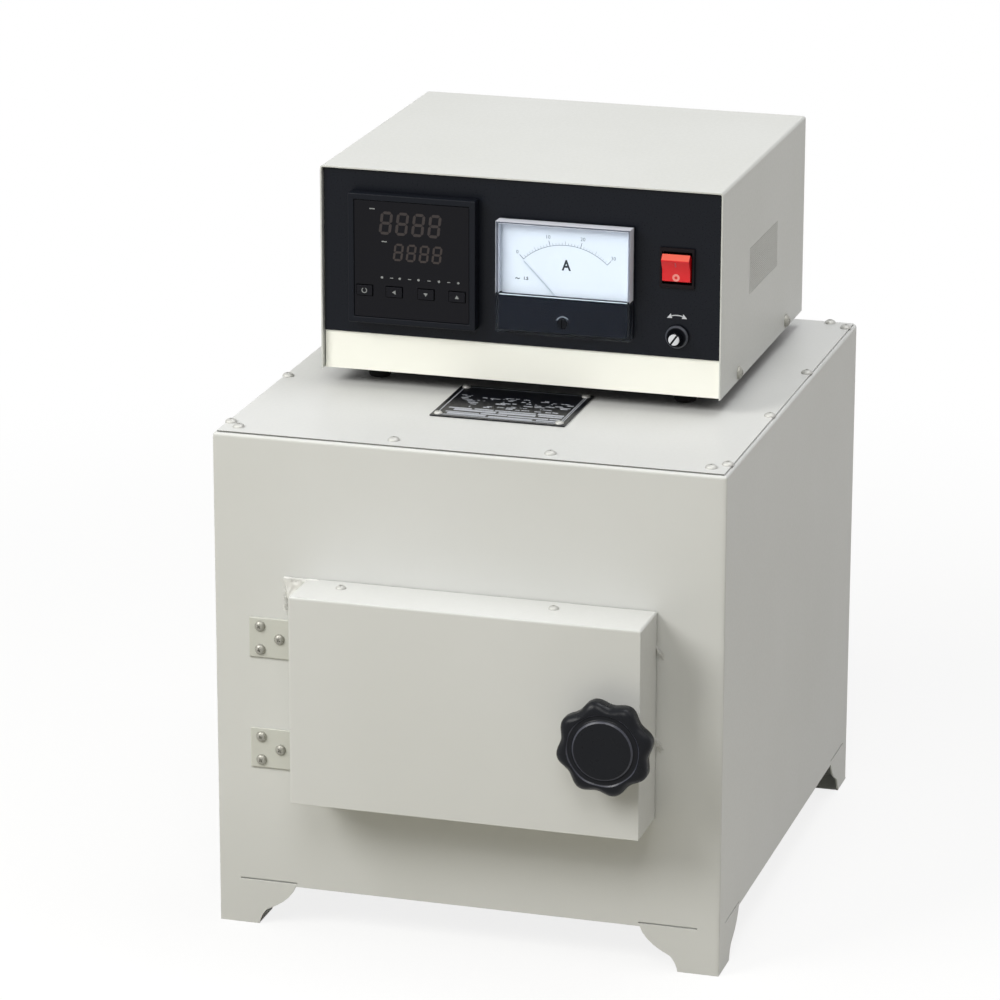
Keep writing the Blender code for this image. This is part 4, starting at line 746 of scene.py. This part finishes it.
# Latch keeper and hinges
# The keeper is a slotted steel plate behind the front panel. Each hinge is two pressed leaves rolled round
# a steel pin, enamelled with the casing. Its screws were put in afterwards, and are bright.
leaf_thick = 0.0018
leaf_edge = 0.0011          # the press rounds a leaf's face, and leaves its back sharp
leaf_back_share, moving_leaf_share = 0.1, 0.3
leaf_seats = ((0.0085, 0.0088), (0.0085, -0.0088), (0.0230, 0))     # from the outer edge, and up
# Zinc plate: grey and bright, with the rolling of the sheet under it.
rolled_steel = metal("zinc_plated_steel", "#9a9a95", 0.34, 0.002, 0.00002, (1, 6, 1))
dress("latch_keeper_plate", "latch_keeper", cut_edge, rolled_steel, "root", "steel")
hinge_enamel = enamel("hinge_enamel", "#cccdc6", "#c4c5bd", 0.40)


def leaf_share(middle):
    if middle.y < panel_y - leaf_thick - 0.0007:
        return moving_leaf_share
    return 1 if middle.y < panel_y - leaf_thick + weld else leaf_back_share


def middle_height(node):
    low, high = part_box(node)
    return (low.z + high.z) / 2


hinge_seats = []
for side in ("upper", "lower"):
    for leaf, body in (("fixed", "root"), ("moving", "door")):
        node = f"hinge_leaf_{side}_{leaf}"
        dress(node + "_enamelled", node, leaf_edge, hinge_enamel, body, "hinge_paint", share=leaf_share,
              segments=3)
    node = "hinge_pin_" + side
    dress(node + "_steel", node, 0.0003, rolled_steel, "root", "steel")
    leaf = f"hinge_leaf_{side}_fixed"
    hinge_seats += [((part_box(leaf)[0].x + u, panel_y - leaf_thick, middle_height(leaf) + v), (0, -1, 0))
                    for u, v in leaf_seats]
screws("hinge_screws", hinge_seats, nickel, "root", seed=4)


# Door
# A folded and welded pan, whose walls run back over the gasket, round a lipped steel tray packed with fibre
# board. The board's plug closes the muffle's mouth. Two screws above, two below and the hinges' hold the
# tray.
pan_bend = 0.0018
pan_screw_places = (-0.0873, 0.0687)
pan_screw_depth = 0.0157    # before the panel
wall_screw_depth = 0.0255
wall_screw_rise = 0.0075


def pan_share(middle):
    """The pan is folded along its front edges and its corners, and cut round its back."""
    if middle.y > door_high.y - weld:
        return cut_edge / pan_bend
    reached = (middle.x - door_low.x, middle.x - door_high.x, middle.y - door_low.y, middle.z - door_low.z,
               middle.z - door_high.z)
    return 1 if sum(abs(away) < weld for away in reached) >= 2 else cut_edge / pan_bend


dress("door_pan_enamelled", "door_pan", pan_bend, casing_enamel, "door", "casing_paint", share=pan_share,
      segments=4)
dress("door_tray_plated", "door_tray", cut_edge, rolled_steel, "door", "steel")
dress("door_insulation_board", "door_insulation", 0.0012, fibre_board, "door", "fibre_board")
dress("latch_bush_turned", "latch_bush", 0.0002, turned_brass, "door", "brass")
pan_seats = [((x, panel_y - pan_screw_depth, z), (0, 0, way)) for x in pan_screw_places
             for z, way in ((door_high.z, 1), (door_low.z, -1))]
screws("door_screws", pan_seats, dulled_nickel, "door", size=0.95, seed=5)
wall_seats = [((door_low.x - leaf_thick, panel_y - wall_screw_depth,
                middle_height(f"hinge_leaf_{side}_moving") + v), (-1, 0, 0))
              for side in ("upper", "lower") for v in (-wall_screw_rise, wall_screw_rise)]
screws("hinge_wall_screws", wall_seats, nickel, "door", size=0.7, seed=6)


# Door knob and latch
# An eight-lobed phenolic hand knob with a shallow raised disc on its face. It is pressed from powder and
# polished by its tool. Its steel spindle runs through the door to the latch bar.
lobes = 8
lobe_turn = math.radians(14)
lobe_depth = 0.0019         # half the height of a lobe
lobe_points = 20
# (radius, depth behind the disc's face, share of the lobes' depth)
knob_rings = ((0.0040, 0.0090, 0), (0.0040, 0.0298, 0), (0.0125, 0.0298, 0), (0.0135, 0.0288, 0),
              (0.0135, 0.0180, 0), (0.0142, 0.0168, 0), (0.0300, 0.0167, 0.7), (0.0325, 0.0162, 0.9),
              (0.0343, 0.0146, 1), (0.0350, 0.0122, 1), (0.0350, 0.0068, 1), (0.0345, 0.0048, 1),
              (0.0331, 0.0031, 1), (0.0310, 0.0018, 0.8), (0.0290, 0.00130, 0.5), (0.0275, 0.00128, 0.3),
              (0.0264, 0.00135, 0.12), (0.0255, 0.0022, 0.05), (0.0246, 0.0025, 0), (0.0230, 0.0025, 0),
              (0.0224, 0.0022, 0), (0.0218, 0.0014, 0), (0.0206, 0.0003, 0), (0.0200, 0.00008, 0),
              (0.0150, 0.0000, 0), (0.0080, 0.0002, 0), (0.0030, 0.0003, 0))
highlight_rings = (0.0255, 0.0206)     # the bands that end at these radii are painted grey as highlights


def lobed(node, axis, rings, marked, count, points, depth, turn=0):
    """A knob in place of a node, round its axis, whose rings are waved as many times as count says.

    Its marked bands, which end at the radii given, are to take a second finish.
    """
    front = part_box(node)[0].y
    bm = bmesh.new()
    loops = []
    for radius, back, share in rings:
        reaches = [(a, radius + (math.cos(count * (a - turn)) - 1) * depth * share) for a in around(points)]
        loops.append([bm.verts.new((axis.x + r * math.cos(a), front + back, axis.z + r * math.sin(a)))
                      for a, r in reaches])
    for (radius, back, share), band in zip(rings[1:], skin(bm, loops)):
        for face in band:
            face.material_index = int(radius in marked)
    bmesh.ops.recalc_face_normals(bm, faces=bm.faces)
    mesh = mesh_of(bm, node)
    for slot in range(2):   # a modifier keeps the marks only where the slots are there
        mesh.materials.append(None)
    return soften(mesh)


spindle_low, spindle_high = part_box("latch_spindle")
knob_mesh = lobed("door_knob", (spindle_low + spindle_high) / 2, knob_rings, highlight_rings, lobes,
                  lobes * lobe_points, lobe_depth, lobe_turn)
# Painted highlight: the same moulding, greyer and a little brighter, on the two bands.
highlight_phenolic = moulded("painted_highlight_phenolic", "#3c3e49", 0.3, 0.006, 0.00003, specular=0.4)
fit("hand_knob", knob_mesh, [phenolic, highlight_phenolic], "knob", "knob_plastic", "door_knob")
dress("latch_bar", "latch_spindle", 0.0003, rolled_steel, "knob", "steel")


# Cable glands
# Rubber rings pressed into the holes at the back, for the kiln's lead and the controller's.
rubber, parts = start("black_rubber", Base_Color=linear("#1a1a1a"), Roughness=0.75, Specular_IOR_Level=0.2)
worked(*parts, 0.002, depth=0.0001, Detail=4)
for node in ("kiln_gland", "controller_gland"):
    dress(node + "_moulded", node, 0.0005, rubber, "root", "rubber")


# Controller: chassis, cover and feet
# A folded tray stands on four rubber feet, and its front shows as a cream strip under the fascia. The
# cover is one bent sheet, punched with fine holes in a window on each side and screwed at its foot.
cover_low, cover_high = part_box("controller_cover")
sheet = 0.0012
cover_bend = 0.0024
bend_steps = 5
vent_start, vent_length = 0.0845, 0.0870
vent_foot, vent_rise = 0.0570, 0.0347
holes_along, holes_up = 54, 22
hole_share = 0.74           # a hole's width, of its pitch
hole_sides = 8
cover_screw_places, cover_screw_rise = (0.0552, 0.2052), 0.006
foot_edge = 0.0012


def in_box(x, y, z):
    """A place given from the controller's middle, its cover's front edge and its underside."""
    return Vector(((cover_low.x + cover_high.x) / 2 + x, cover_low.y + y, cover_low.z + z))


def facing(bm, way):
    """Turns a sheet's faces over where they look away from way."""
    bm.normal_update()
    if sum((face.normal for face in bm.faces), Vector()).dot(way) < 0:
        bmesh.ops.reverse_faces(bm, faces=bm.faces)


controller_enamel = enamel("controller_enamel", "#cfd0cc", "#cacbc6", 0.38)
strip_enamel = enamel("cream_enamel", "#fefef5", "#fcfcf1", 0.34)
# The tray's underside is painted black as painted shade, to darken the gap under the controller.
underside_shade_paint = enamel("painted_shade_underside", "#1a1a18", "#121210", 0.6)
dress("controller_chassis_enamelled", "controller_chassis", cut_edge, [strip_enamel, underside_shade_paint], "root",
      "strip_paint",
      second=lambda face: face.normal.z < -0.5 and face.center.z < cover_low.z + sheet / 2)

half = (cover_high.x - cover_low.x) / 2
height = cover_high.z - cover_low.z
bends = [math.pi - math.pi / 2 * i / bend_steps for i in range(bend_steps + 1)]
over = [(-half, 0), (-half, vent_foot), (-half, vent_foot + vent_rise)]
over += [(-half + cover_bend * (1 + math.cos(a)), height - cover_bend * (1 - math.sin(a))) for a in bends]
over += [(-x, z) for x, z in reversed(over)]
along = (0, vent_start, vent_start + vent_length, cover_high.y - cover_low.y)
bm = bmesh.new()
grid = [[bm.verts.new(in_box(x, y, z)) for y in along] for x, z in over]
last = len(over) - 1
for i in range(last):
    for j in range(len(along) - 1):
        if not (j == 1 and i in (1, last - 2)):     # the windows' places stay open
            bm.faces.new((grid[i][j], grid[i][j + 1], grid[i + 1][j + 1], grid[i + 1][j]))
bmesh.ops.recalc_face_normals(bm, faces=bm.faces)
facing(bm, Vector((0, 0, 1)))
cover_mesh = baked(mesh_of(bm, "cover"), "SOLIDIFY", thickness=sheet, offset=-1, use_even_offset=True)
fit("controller_cover_bent", soften(cover_mesh, cut_edge), controller_enamel, "root", "casing_paint",
    "controller_cover")

vent_tree, given = pattern_tree("punched_sheet")
end_tree(vent_tree, given, {}, merge=weld)
pitch_y, pitch_z = vent_length / holes_along, vent_rise / holes_up
bm = bmesh.new()
holes = [bm.verts.new((0, hole_share * pitch_y / 2 * math.cos(a + math.pi / hole_sides),
                       hole_share * pitch_z / 2 * math.sin(a + math.pi / hole_sides)))
         for a in around(hole_sides)]
# The cell's corners come between the holes' facets, so that neighbours share their corners alone.
corners = [bm.verts.new((0, u * pitch_y / 2, v * pitch_z / 2))
           for u, v in ((1, 1), (-1, 1), (-1, -1), (1, -1))]
for k, corner in enumerate(corners):
    a, b, c = holes[2 * k], holes[2 * k + 1], holes[(2 * k + 2) % hole_sides]
    bm.faces.new((a, corner, b))
    bm.faces.new((b, corner, corners[(k + 1) % 4], c))
cell_mesh = mesh_of(bm, "cell")
for side, name in ((-1, "left"), (1, "right")):
    points = bpy.data.meshes.new("vent_points")
    points.from_pydata([in_box(side * half, vent_start + (i + 0.5) * pitch_y, vent_foot + (j + 0.5) * pitch_z)
                        for i in range(holes_along) for j in range(holes_up)], [], [])
    bm = bmesh.new()
    bm.from_mesh(copied(vent_tree, cell_mesh, points, controller_enamel))
    facing(bm, Vector((side, 0, 0)))
    vent_mesh = baked(mesh_of(bm, "vent"), "SOLIDIFY", thickness=sheet, offset=-1)
    fit(f"controller_vent_{name}", vent_mesh, controller_enamel, "root", "casing_paint")

cover_seats = [(in_box(side * half, y, cover_screw_rise), (side, 0, 0)) for side in (-1, 1)
               for y in cover_screw_places]
screws("cover_screws", cover_seats, nickel, "root", size=1.25, seed=7)
for row in ("front", "rear"):
    for side in ("left", "right"):
        node = f"controller_foot_{row}_{side}"
        dress(node + "_moulded", node, foot_edge, rubber, "root", "rubber", segments=3)


# Fascia
# An aluminium plate covered by a black screen-printed film. The film is satin, with a fine leather grain,
# and the openings for the instruments are punched through both.
film = moulded("black_printed_film", "#10131a", 0.3, 0.0009, 0.00002, specular=0.16)
dress("fascia_printed", "controller_fascia", 0.0002, film, "root", "fascia")
print_thick = 0.00006
adjust_x, adjust_z = 0.1172, 0.0443
arrow_radius, arrow_width, arrow_half_turn = 0.0132, 0.0006, 22
arrow_root, arrow_tip = math.radians(18), math.radians(34)
arrow_inside, arrow_outside = 0.0115, 0.0150


def facing_front(u, v, w):
    """Lifts an outline of (x, z) off a face that looks to the front."""
    return u, -w, v


def printed(name, outlines, face_y, finish, body, slot, thick=print_thick, lift=facing_front):
    """Marks on a face that looks to the front, as one piece."""
    fit(name, laid_on(outlines, -face_y, thick, lift), finish, body, slot)


def on_circle(x, z, radius, turn):
    """The point at a turn from the top, positive to the right."""
    return x + radius * math.sin(turn), z + radius * math.cos(turn)


def arc(x, z, radius, width, start_turn, end_turn, steps=16):
    """A band round (x, z) between two turns in degrees."""
    turns = [math.radians(start_turn + (end_turn - start_turn) * i / steps) for i in range(steps + 1)]
    outer, inner = [[on_circle(x, z, radius + w, t) for t in turns] for w in (width / 2, -width / 2)]
    return outer + inner[::-1]


def ink(name, colour, shine=0.6):
    """Screen ink: flat, chalky and a hair proud of what it is printed on."""
    made, parts = start(name, Base_Color=linear(colour), Specular_IOR_Level=0.2)
    worked(*parts, 0.0008, (shine - 0.1, shine + 0.1), contrast=(0, 1), Detail=2)
    return made


white_ink = ink("white_screen_ink", "#d2d5da")
turn_mark = in_box(adjust_x - 0.0005, 0, adjust_z + 0.0023)
marks = [arc(turn_mark.x, turn_mark.z, arrow_radius, arrow_width, -arrow_half_turn, arrow_half_turn)]
for side in (-1, 1):
    marks.append([on_circle(turn_mark.x, turn_mark.z, radius, side * turn) for radius, turn in
                  ((arrow_radius, arrow_tip), (arrow_outside, arrow_root), (arrow_inside, arrow_root))])
printed("turn_marks", marks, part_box("controller_fascia")[0].y, white_ink, "root", "fascia")


# Process instrument
# A black ABS bezel snapped into the fascia, with a smoked acrylic window. Two rows of unlit
# seven-segment figures and a line of lamps show dimly behind it, and four soft keys lie below.
digit_lean = math.tan(math.radians(7))
digits = 4
# Places from the lower left corner of the bezel. A row: left, foot, pitch, width, height and stroke.
upper_row = (0.0232, 0.0668, 0.0122, 0.0092, 0.0172, 0.0021)
lower_row = (0.0338, 0.0478, 0.0097, 0.0072, 0.0130, 0.0016)
row_dashes = ((0.0165, 0.0850), (0.0255, 0.0612))
row_dash = (0.0040, 0.0008)
lamp_places, lamp_rise, lamp_radius = (0.0257, 0.0391, 0.0533, 0.0688, 0.0833), 0.0348, 0.0009
tick_places, tick_half = (0.0330, 0.0466, 0.0612, 0.0762), (0.0012, 0.0003)
# Moulded ABS: satin, with the spark-eroded grain of its tool. Smoked acrylic: a smooth dark mirror.
abs_black = moulded("black_abs", "#10131a", 0.34, 0.0010, 0.00003, specular=0.15)
smoked = moulded("smoked_acrylic", "#0c0c12", 0.10, 0.004, 0.00001, specular=0.15)
dress("instrument_bezel", "instrument_case", 0.0007, abs_black, "root", "black_plastic", segments=3)
dress("instrument_window", "instrument_face", 0.00025, smoked, "root", "smoked_face")
window_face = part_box("instrument_face")[0].y
case_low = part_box("instrument_case")[0]
case_x, case_z = case_low.x, case_low.z


def digit(x, z, width, height, stroke):
    """The seven hexagonal segments of a leaning figure whose lower left corner is at (x, z)."""
    half_stroke, gap = stroke / 2, stroke * 0.12
    made = []
    for v in (half_stroke, height / 2, height - half_stroke):
        u, end = half_stroke + gap, width - half_stroke - gap
        made.append([(u, v), (u + half_stroke, v - half_stroke), (end - half_stroke, v - half_stroke),
                     (end, v), (end - half_stroke, v + half_stroke), (u + half_stroke, v + half_stroke)])
    for u in (half_stroke, width - half_stroke):
        for v in (half_stroke + gap, height / 2 + gap):
            top = v + height / 2 - half_stroke - 2 * gap
            made.append([(u, v), (u + half_stroke, v + half_stroke), (u + half_stroke, top - half_stroke),
                         (u, top), (u - half_stroke, top - half_stroke), (u - half_stroke, v + half_stroke)])
    return [[(x + u + v * digit_lean, z + v) for u, v in outline] for outline in made]


def disc(x, z, radius, sides=16):
    return [(x + radius * math.cos(a), z + radius * math.sin(a)) for a in around(sides)]


for name, dim, (x, z, pitch, width, height, stroke) in (
        ("instrument_figures", ink("unlit_segments_upper", "#3a3535"), upper_row),
        ("instrument_small_figures", ink("unlit_segments_lower", "#3d3736"), lower_row)):
    figures = [outline for i in range(digits)
               for outline in digit(case_x + x + i * pitch, case_z + z, width, height, stroke)]
    printed(name, figures, window_face, dim, "root", "smoked_face")
grey_ink = ink("grey_screen_ink", "#8f9292")
legend = [bar(case_x + x, case_z + z, case_x + x + row_dash[0], case_z + z + row_dash[1])
          for x, z in row_dashes]
legend += [disc(case_x + x, case_z + lamp_rise, lamp_radius) for x in lamp_places]
legend += [bar(case_x + x - tick_half[0], case_z + lamp_rise - tick_half[1], case_x + x + tick_half[0],
               case_z + lamp_rise + tick_half[1]) for x in tick_places]
printed("instrument_legend", legend, window_face, grey_ink, "root", "smoked_face")

# Silicone: soft, dark and nearly without gloss.
silicone = moulded("dark_silicone", "#0d0d13", 0.3, 0.0012, 0.00003, specular=0.15)
triangle = [(-0.0016, -0.0012), (0.0016, -0.0012), (0, 0.0014)]
key_marks = {
    "key_set": arc(0, 0, 0.0018, 0.0006, 30, 330, 20),
    "key_shift": [(-v, u) for u, v in triangle],
    "key_down": [(-u, -v) for u, v in triangle],
    "key_up": triangle,
}
for node, outline in key_marks.items():
    key_low, key_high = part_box(node)
    centre = (key_low + key_high) / 2
    dress(node + "_cap", node, 0.0003, silicone, node, "key_plastic", segments=3)
    printed(node + "_mark", [[(centre.x + u, centre.z + v) for u, v in outline]], key_low.y, grey_ink, node,
            "key_plastic", thick=print_thick / 2)


# Ammeter
# A moving-iron panel meter: a clear styrene box over a white printed card and a black mask. The needle
# lies against its left stop, and the zero screw stands in the mask.
pivot = in_box(0.035, 0, 0.061)
unit = in_box(0.0358, 0, 0.0912)
signs = in_box(-0.0005, 0, 0.0797)
class_shift = 0.0062        # from the sign of the current to the class
zero_at = in_box(0.035, 0, 0.050)
scale_radius = 0.0453
scale_half_turn = 43.2
scale_line = 0.00035
divisions = 30
# Every tenth, every fifth and every other division: the length of its stroke and half its width.
strokes = ((10, 0.0042, 0.00022), (5, 0.0030, 0.00012), (1, 0.0018, 0.00012))
figure_reach, figure_size = 0.0068, 0.0038
highlight_inset, highlight_top, highlight_foot = 0.0005, 0.0001, 0.0006
mask_low, mask_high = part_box("meter_mask")
dial_low, dial_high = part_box("meter_dial")


def parted(node, height):
    """A CAD node's shape with an edge all round it at one height, where two finishes meet."""
    bm = solid_of(node)
    bmesh.ops.bisect_plane(bm, geom=[*bm.verts, *bm.edges, *bm.faces], plane_co=(0, 0, height),
                           plane_no=(0, 0, 1))
    return bm


# The case is black below, and white round the card to throw light on it.
reflector = moulded("white_case_rim", "#bfc3cb", 0.5, 0.001, 0.00001)
dress("meter_base", "meter_case", 0.0004, [abs_black, reflector], "root", "black_plastic",
      bm=parted("meter_case", mask_high.z),
      second=lambda face: face.center.z > mask_high.z and face.center.y < dial_high.y + 0.001)
# Printed card: flat white, very slightly mottled.
card, parts = start("printed_dial_card", Roughness=0.5, Specular_IOR_Level=0.25)
clouded(*parts, 0.02, "#c8cad1", "#cfd1d9", Detail=3)
dress("meter_card", "meter_dial", 0.0001, card, "root", "dial_card")
# Black styrene: deep, and dull behind the clear box.
mask_black = moulded("black_styrene", "#0e1119", 0.3, 0.0010, 0.00002, specular=0.05)
dress("meter_mask_moulded", "meter_mask", 0.0003, mask_black, "root", "black_plastic")


def lettering(text, size, x, z, bold=0, squeeze=1):
    """Figures or letters centred on (x, z) on the meter's card."""
    line = bpy.data.curves.new("lettering", "FONT")
    line.body = text
    line.size = size
    line.align_x = "CENTER"
    line.align_y = "CENTER"
    line.extrude = print_thick / 2
    line.resolution_u = 3
    line.offset = bold
    mesh = evaluated(put("lettering", line))
    mesh.transform(Matrix.Translation((x, dial_low.y - print_thick / 2, z)) @ Matrix.Rotation(math.pi / 2, 4, "X")
                   @ Matrix.Diagonal((squeeze, 1, 1, 1)))
    return mesh


def together(*meshes):
    bm = bmesh.new()
    for mesh in meshes:
        bm.from_mesh(mesh)
    bmesh.ops.remove_doubles(bm, verts=bm.verts, dist=0.000001)
    return mesh_of(bm, "together")


scale_lines = [arc(pivot.x, pivot.z, scale_radius, scale_line, -scale_half_turn, scale_half_turn, 48)]
for i in range(divisions + 1):
    turn = math.radians(scale_half_turn * (2 * i / divisions - 1))
    length, side = next((length, side) for every, length, side in strokes if i % every == 0)
    across = Vector((math.cos(turn), -math.sin(turn))) * side
    foot, head = [Vector(on_circle(pivot.x, pivot.z, radius, turn))
                  for radius in (scale_radius, scale_radius + length)]
    scale_lines.append([tuple(foot - across), tuple(foot + across), tuple(head + across),
                        tuple(head - across)])
dial_marks = [laid_on(scale_lines, -dial_low.y, print_thick, facing_front)]
for i, figure in enumerate(("0", "10", "20", "30")):
    turn = math.radians(scale_half_turn * (2 * i / 3 - 1))
    x, z = on_circle(pivot.x, pivot.z, scale_radius + figure_reach, turn)
    dial_marks.append(lettering(figure, figure_size, x, z))
fit("meter_scale", together(*dial_marks), ink("dial_scale_ink", "#5f676d"), "root", "dial_card")
fit("meter_unit", together(lettering("A", 0.0108, unit.x, unit.z, 0.0003, 0.85),
                           lettering("~", 0.0060, signs.x, signs.z, 0.0001),
                           lettering("1.5", 0.0032, signs.x + class_shift, signs.z, 0.0001)),
    ink("dial_black_ink", "#22262b"), "root", "dial_card")
dress("needle_drawn", "meter_needle", 0.0001, ink("needle_paint", "#b3b9c1", 0.5), "needle", "needle_black")
# Nylon: dark and waxy.
zero_black = moulded("black_nylon", "#0f1116", 0.35, 0.001, 0.00002, specular=0.12)
dress("zero_screw_moulded", "meter_zero_screw", 0.0003, zero_black, "zero_screw", "black_plastic")

# Styrene: water-clear, with a soft edge where the tool closed. Lamps shine through it to the card.
styrene, parts = start("clear_styrene", Base_Color=linear("#f4f9fc"), Transmission_Weight=1, IOR=1.15,
                       Specular_IOR_Level=0.12)
worked(*parts, 0.012, (0.0, 0.06), 0.0001, strength=0.3, contrast=(0, 1), Detail=2)
tree, shader, place = parts
through = add(tree, "ShaderNodeBsdfTransparent", {"Color": linear("#f2f6f8")})
path = add(tree, "ShaderNodeLightPath")
lit = add(tree, "ShaderNodeMixShader", {0: path.outputs["Is Shadow Ray"], 1: shader.outputs[0],
          2: through.outputs[0]})
tree.links.new(lit.outputs[0], tree.nodes["Material Output"].inputs["Surface"])
# The walls of the tool were blasted, so that the sides over the card look frosted.
frosted = moulded("frosted_styrene", "#d3d5de", 0.45, 0.0008, 0.00003, specular=0.4)
frost_foot = mask_high.z + 0.0003
dress("meter_cover_clear", "meter_cover", 0.0005, [styrene, frosted], "root", "clear_cover", segments=3,
      bm=parted("meter_cover", frost_foot),
      second=lambda face: face.center.z > frost_foot and abs(face.normal.y) < 0.8)
# A painted highlight runs along the mask's upper edge, and a painted glint arcs round the zero screw.
highlight_band = bar(mask_low.x + highlight_inset, mask_high.z - highlight_foot, mask_high.x - highlight_inset, mask_high.z - highlight_top)
printed("meter_bead", [highlight_band], mask_low.y, ink("painted_highlight_ink", "#dfe5ea", 0.3), "root", "black_plastic")
# The grey arc round the zero screw is a painted glint.
printed("zero_lip", [arc(zero_at.x, zero_at.z, 0.0050, 0.0006, -65, 50)], mask_low.y,
        ink("painted_glint_ink", "#8c9199", 0.3), "root", "black_plastic")


# Mains switch
# A nylon frame snapped into the fascia, with a rocker moulded in red translucent polycarbonate. The
# rocker is pressed at its lower end, which carries a ring, and the upper end a line.
rocker_pivot = in_box(0.1167, 0.0009, 0.0947)
rocker_tilt = math.radians(14)
crown_half = 0.0082         # from the crease to the highest line of each half
crease_rise, crown_rise = 0.0025, 0.0045
mark_base = 0.00002         # the marks' feet over the faces
# Its faint red tint is painted light, the rocker's red glow thrown on the frame.
frame_black = moulded("black_nylon_frame", "#150f12", 0.35, 0.001, 0.00002, specular=0.12)
dress("switch_frame_moulded", "switch_frame", 0.0004, frame_black, "root", "black_plastic")
# Polycarbonate: glossy and deep red. Its lighter copy is a painted highlight on the sloping end.
red = moulded("red_polycarbonate", "#e0161f", 0.16, 0.002, 0.00001, specular=0.4)
painted_highlight_red = moulded("red_polycarbonate_painted_highlight", "#e8604c", 0.2, 0.002, 0.00001, specular=0.45)


def takes_painted_highlight(face):
    """The sloping end of the raised half, which takes a painted highlight."""
    end = face.center.z > rocker_pivot.z + 0.9 * crown_half
    return end and face.normal.z > 0.15 and abs(face.normal.x) < 0.5


def on_rocker(u, v, w):
    """Lifts an outline off one face of the tilted rocker. v runs up from the crease."""
    y = -(crease_rise + (crown_rise - crease_rise) * abs(v) / crown_half) - w
    turned_y = y * math.cos(rocker_tilt) - v * math.sin(rocker_tilt)
    turned_z = y * math.sin(rocker_tilt) + v * math.cos(rocker_tilt)
    return rocker_pivot.x + u, rocker_pivot.y + turned_y, rocker_pivot.z + turned_z


dress("rocker_moulded", "rocker", 0.0005, [red, painted_highlight_red], "rocker", "switch_red", segments=3, second=takes_painted_highlight)
for name, outline, tint in (
        ("ring", arc(0, -0.0054, 0.0019, 0.0015, 0, 359.9, 24), ink("rocker_ink", "#f09a92", 0.4)),
        ("line", bar(-0.0005, 0.0028, 0.0005, 0.0066), ink("rocker_line_ink", "#c4505a", 0.4))):
    printed("rocker_" + name, [outline], -mark_base, tint, "rocker", "switch_red", lift=on_rocker)


# Adjuster
# A preset potentiometer behind the front. Its small knob is black phenolic: a skirt whose rim is painted grey as
# a highlight, and a knurled stem with a pale slotted end.
knurls = 30
knurl_depth = 0.00025
# (radius, depth behind the stem's end, share of the knurl's depth)
adjust_rings = ((0.0029, 0.0030, 0), (0.0029, 0.0109, 0), (0.0080, 0.0109, 0), (0.0084, 0.0105, 0),
                (0.0084, 0.0088, 0), (0.0072, 0.0074, 0), (0.0066, 0.0073, 0), (0.0054, 0.0080, 0),
                (0.0043, 0.0082, 0.6), (0.0043, 0.0018, 1), (0.0040, 0.0013, 0), (0.0020, 0.0013, 0))
highlight_rim_rings = (0.0072,)       # the band that ends at this radius is painted grey as a highlight
boss_rings = ((0, 0), (0.0040, 0), (0.0040, 0.0009), (0.0038, 0.0012), (0.0033, 0.0013), (0, 0.0013))
boss_sides = 32
slot_half, slot_floor, slot_reach = 0.0007, 0.0003, 0.01
slot_turn = math.radians(35)
dress("adjuster_body", "adjuster", 0.0003, rolled_steel, "root", "steel")
adjust_low, adjust_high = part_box("adjust_knob")
adjust_axis = (adjust_low + adjust_high) / 2
adjust_mesh = lobed("adjust_knob", adjust_axis, adjust_rings, highlight_rim_rings, knurls, 4 * knurls, knurl_depth)
# Its rim is painted grey as a highlight. The slotted end is acetal, white and waxy.
rim_highlight_paint = moulded("painted_highlight_rim", "#44474f", 0.35, 0.001, 0.00002)
fit("adjust_knob_knurled", adjust_mesh, [phenolic, rim_highlight_paint], "adjust_knob", "black_plastic", "adjust_knob")
acetal = moulded("white_acetal", "#d9dbe0", 0.35, 0.001, 0.00002)
boss = carved(turned(boss_rings, boss_sides),
              ((-slot_half, -slot_reach, slot_floor), (slot_half, slot_reach, slot_reach)))
boss_back = adjust_low.y + boss_rings[-1][1]
boss.transform(Matrix.Translation((adjust_axis.x, boss_back, adjust_axis.z))
               @ Matrix.Rotation(slot_turn, 4, "Y") @ Matrix.Rotation(math.pi / 2, 4, "X"))


def slot_painted_shade(face):
    """The slot's own faces are painted dark, as painted shade in the recess."""
    from_axis = face.center - Vector((adjust_axis.x, face.center.y, adjust_axis.z))
    slot_way = upright(math.sin(slot_turn), math.cos(slot_turn))
    off_slot = (from_axis - slot_way * from_axis.dot(slot_way)).length
    return face.center.y > adjust_low.y + 2 * weld and off_slot < slot_half + 2 * weld


fit("adjust_boss", soften(boss), [acetal, phenolic], "adjust_knob", "black_plastic", second=slot_painted_shade)


# Inside the controller
# The power stage's extruded heat sink and a barrier strip, both screwed to the chassis floor. The sink shows
# the long lines of its die, and the strip is a satin green.
extruded = metal("extruded_aluminium", "#b4b6b8", 0.3, 0.003, 0.00003, (1, 0.1, 1))
dress("heat_sink_extruded", "heat_sink", 0.0003, extruded, "root", "heat_sink")
green = moulded("green_polyamide", "#2f6b4a", 0.42, 0.0012, 0.00003)
dress("terminal_strip_moulded", "terminal_strip", 0.0004, green, "root", "green_plastic")
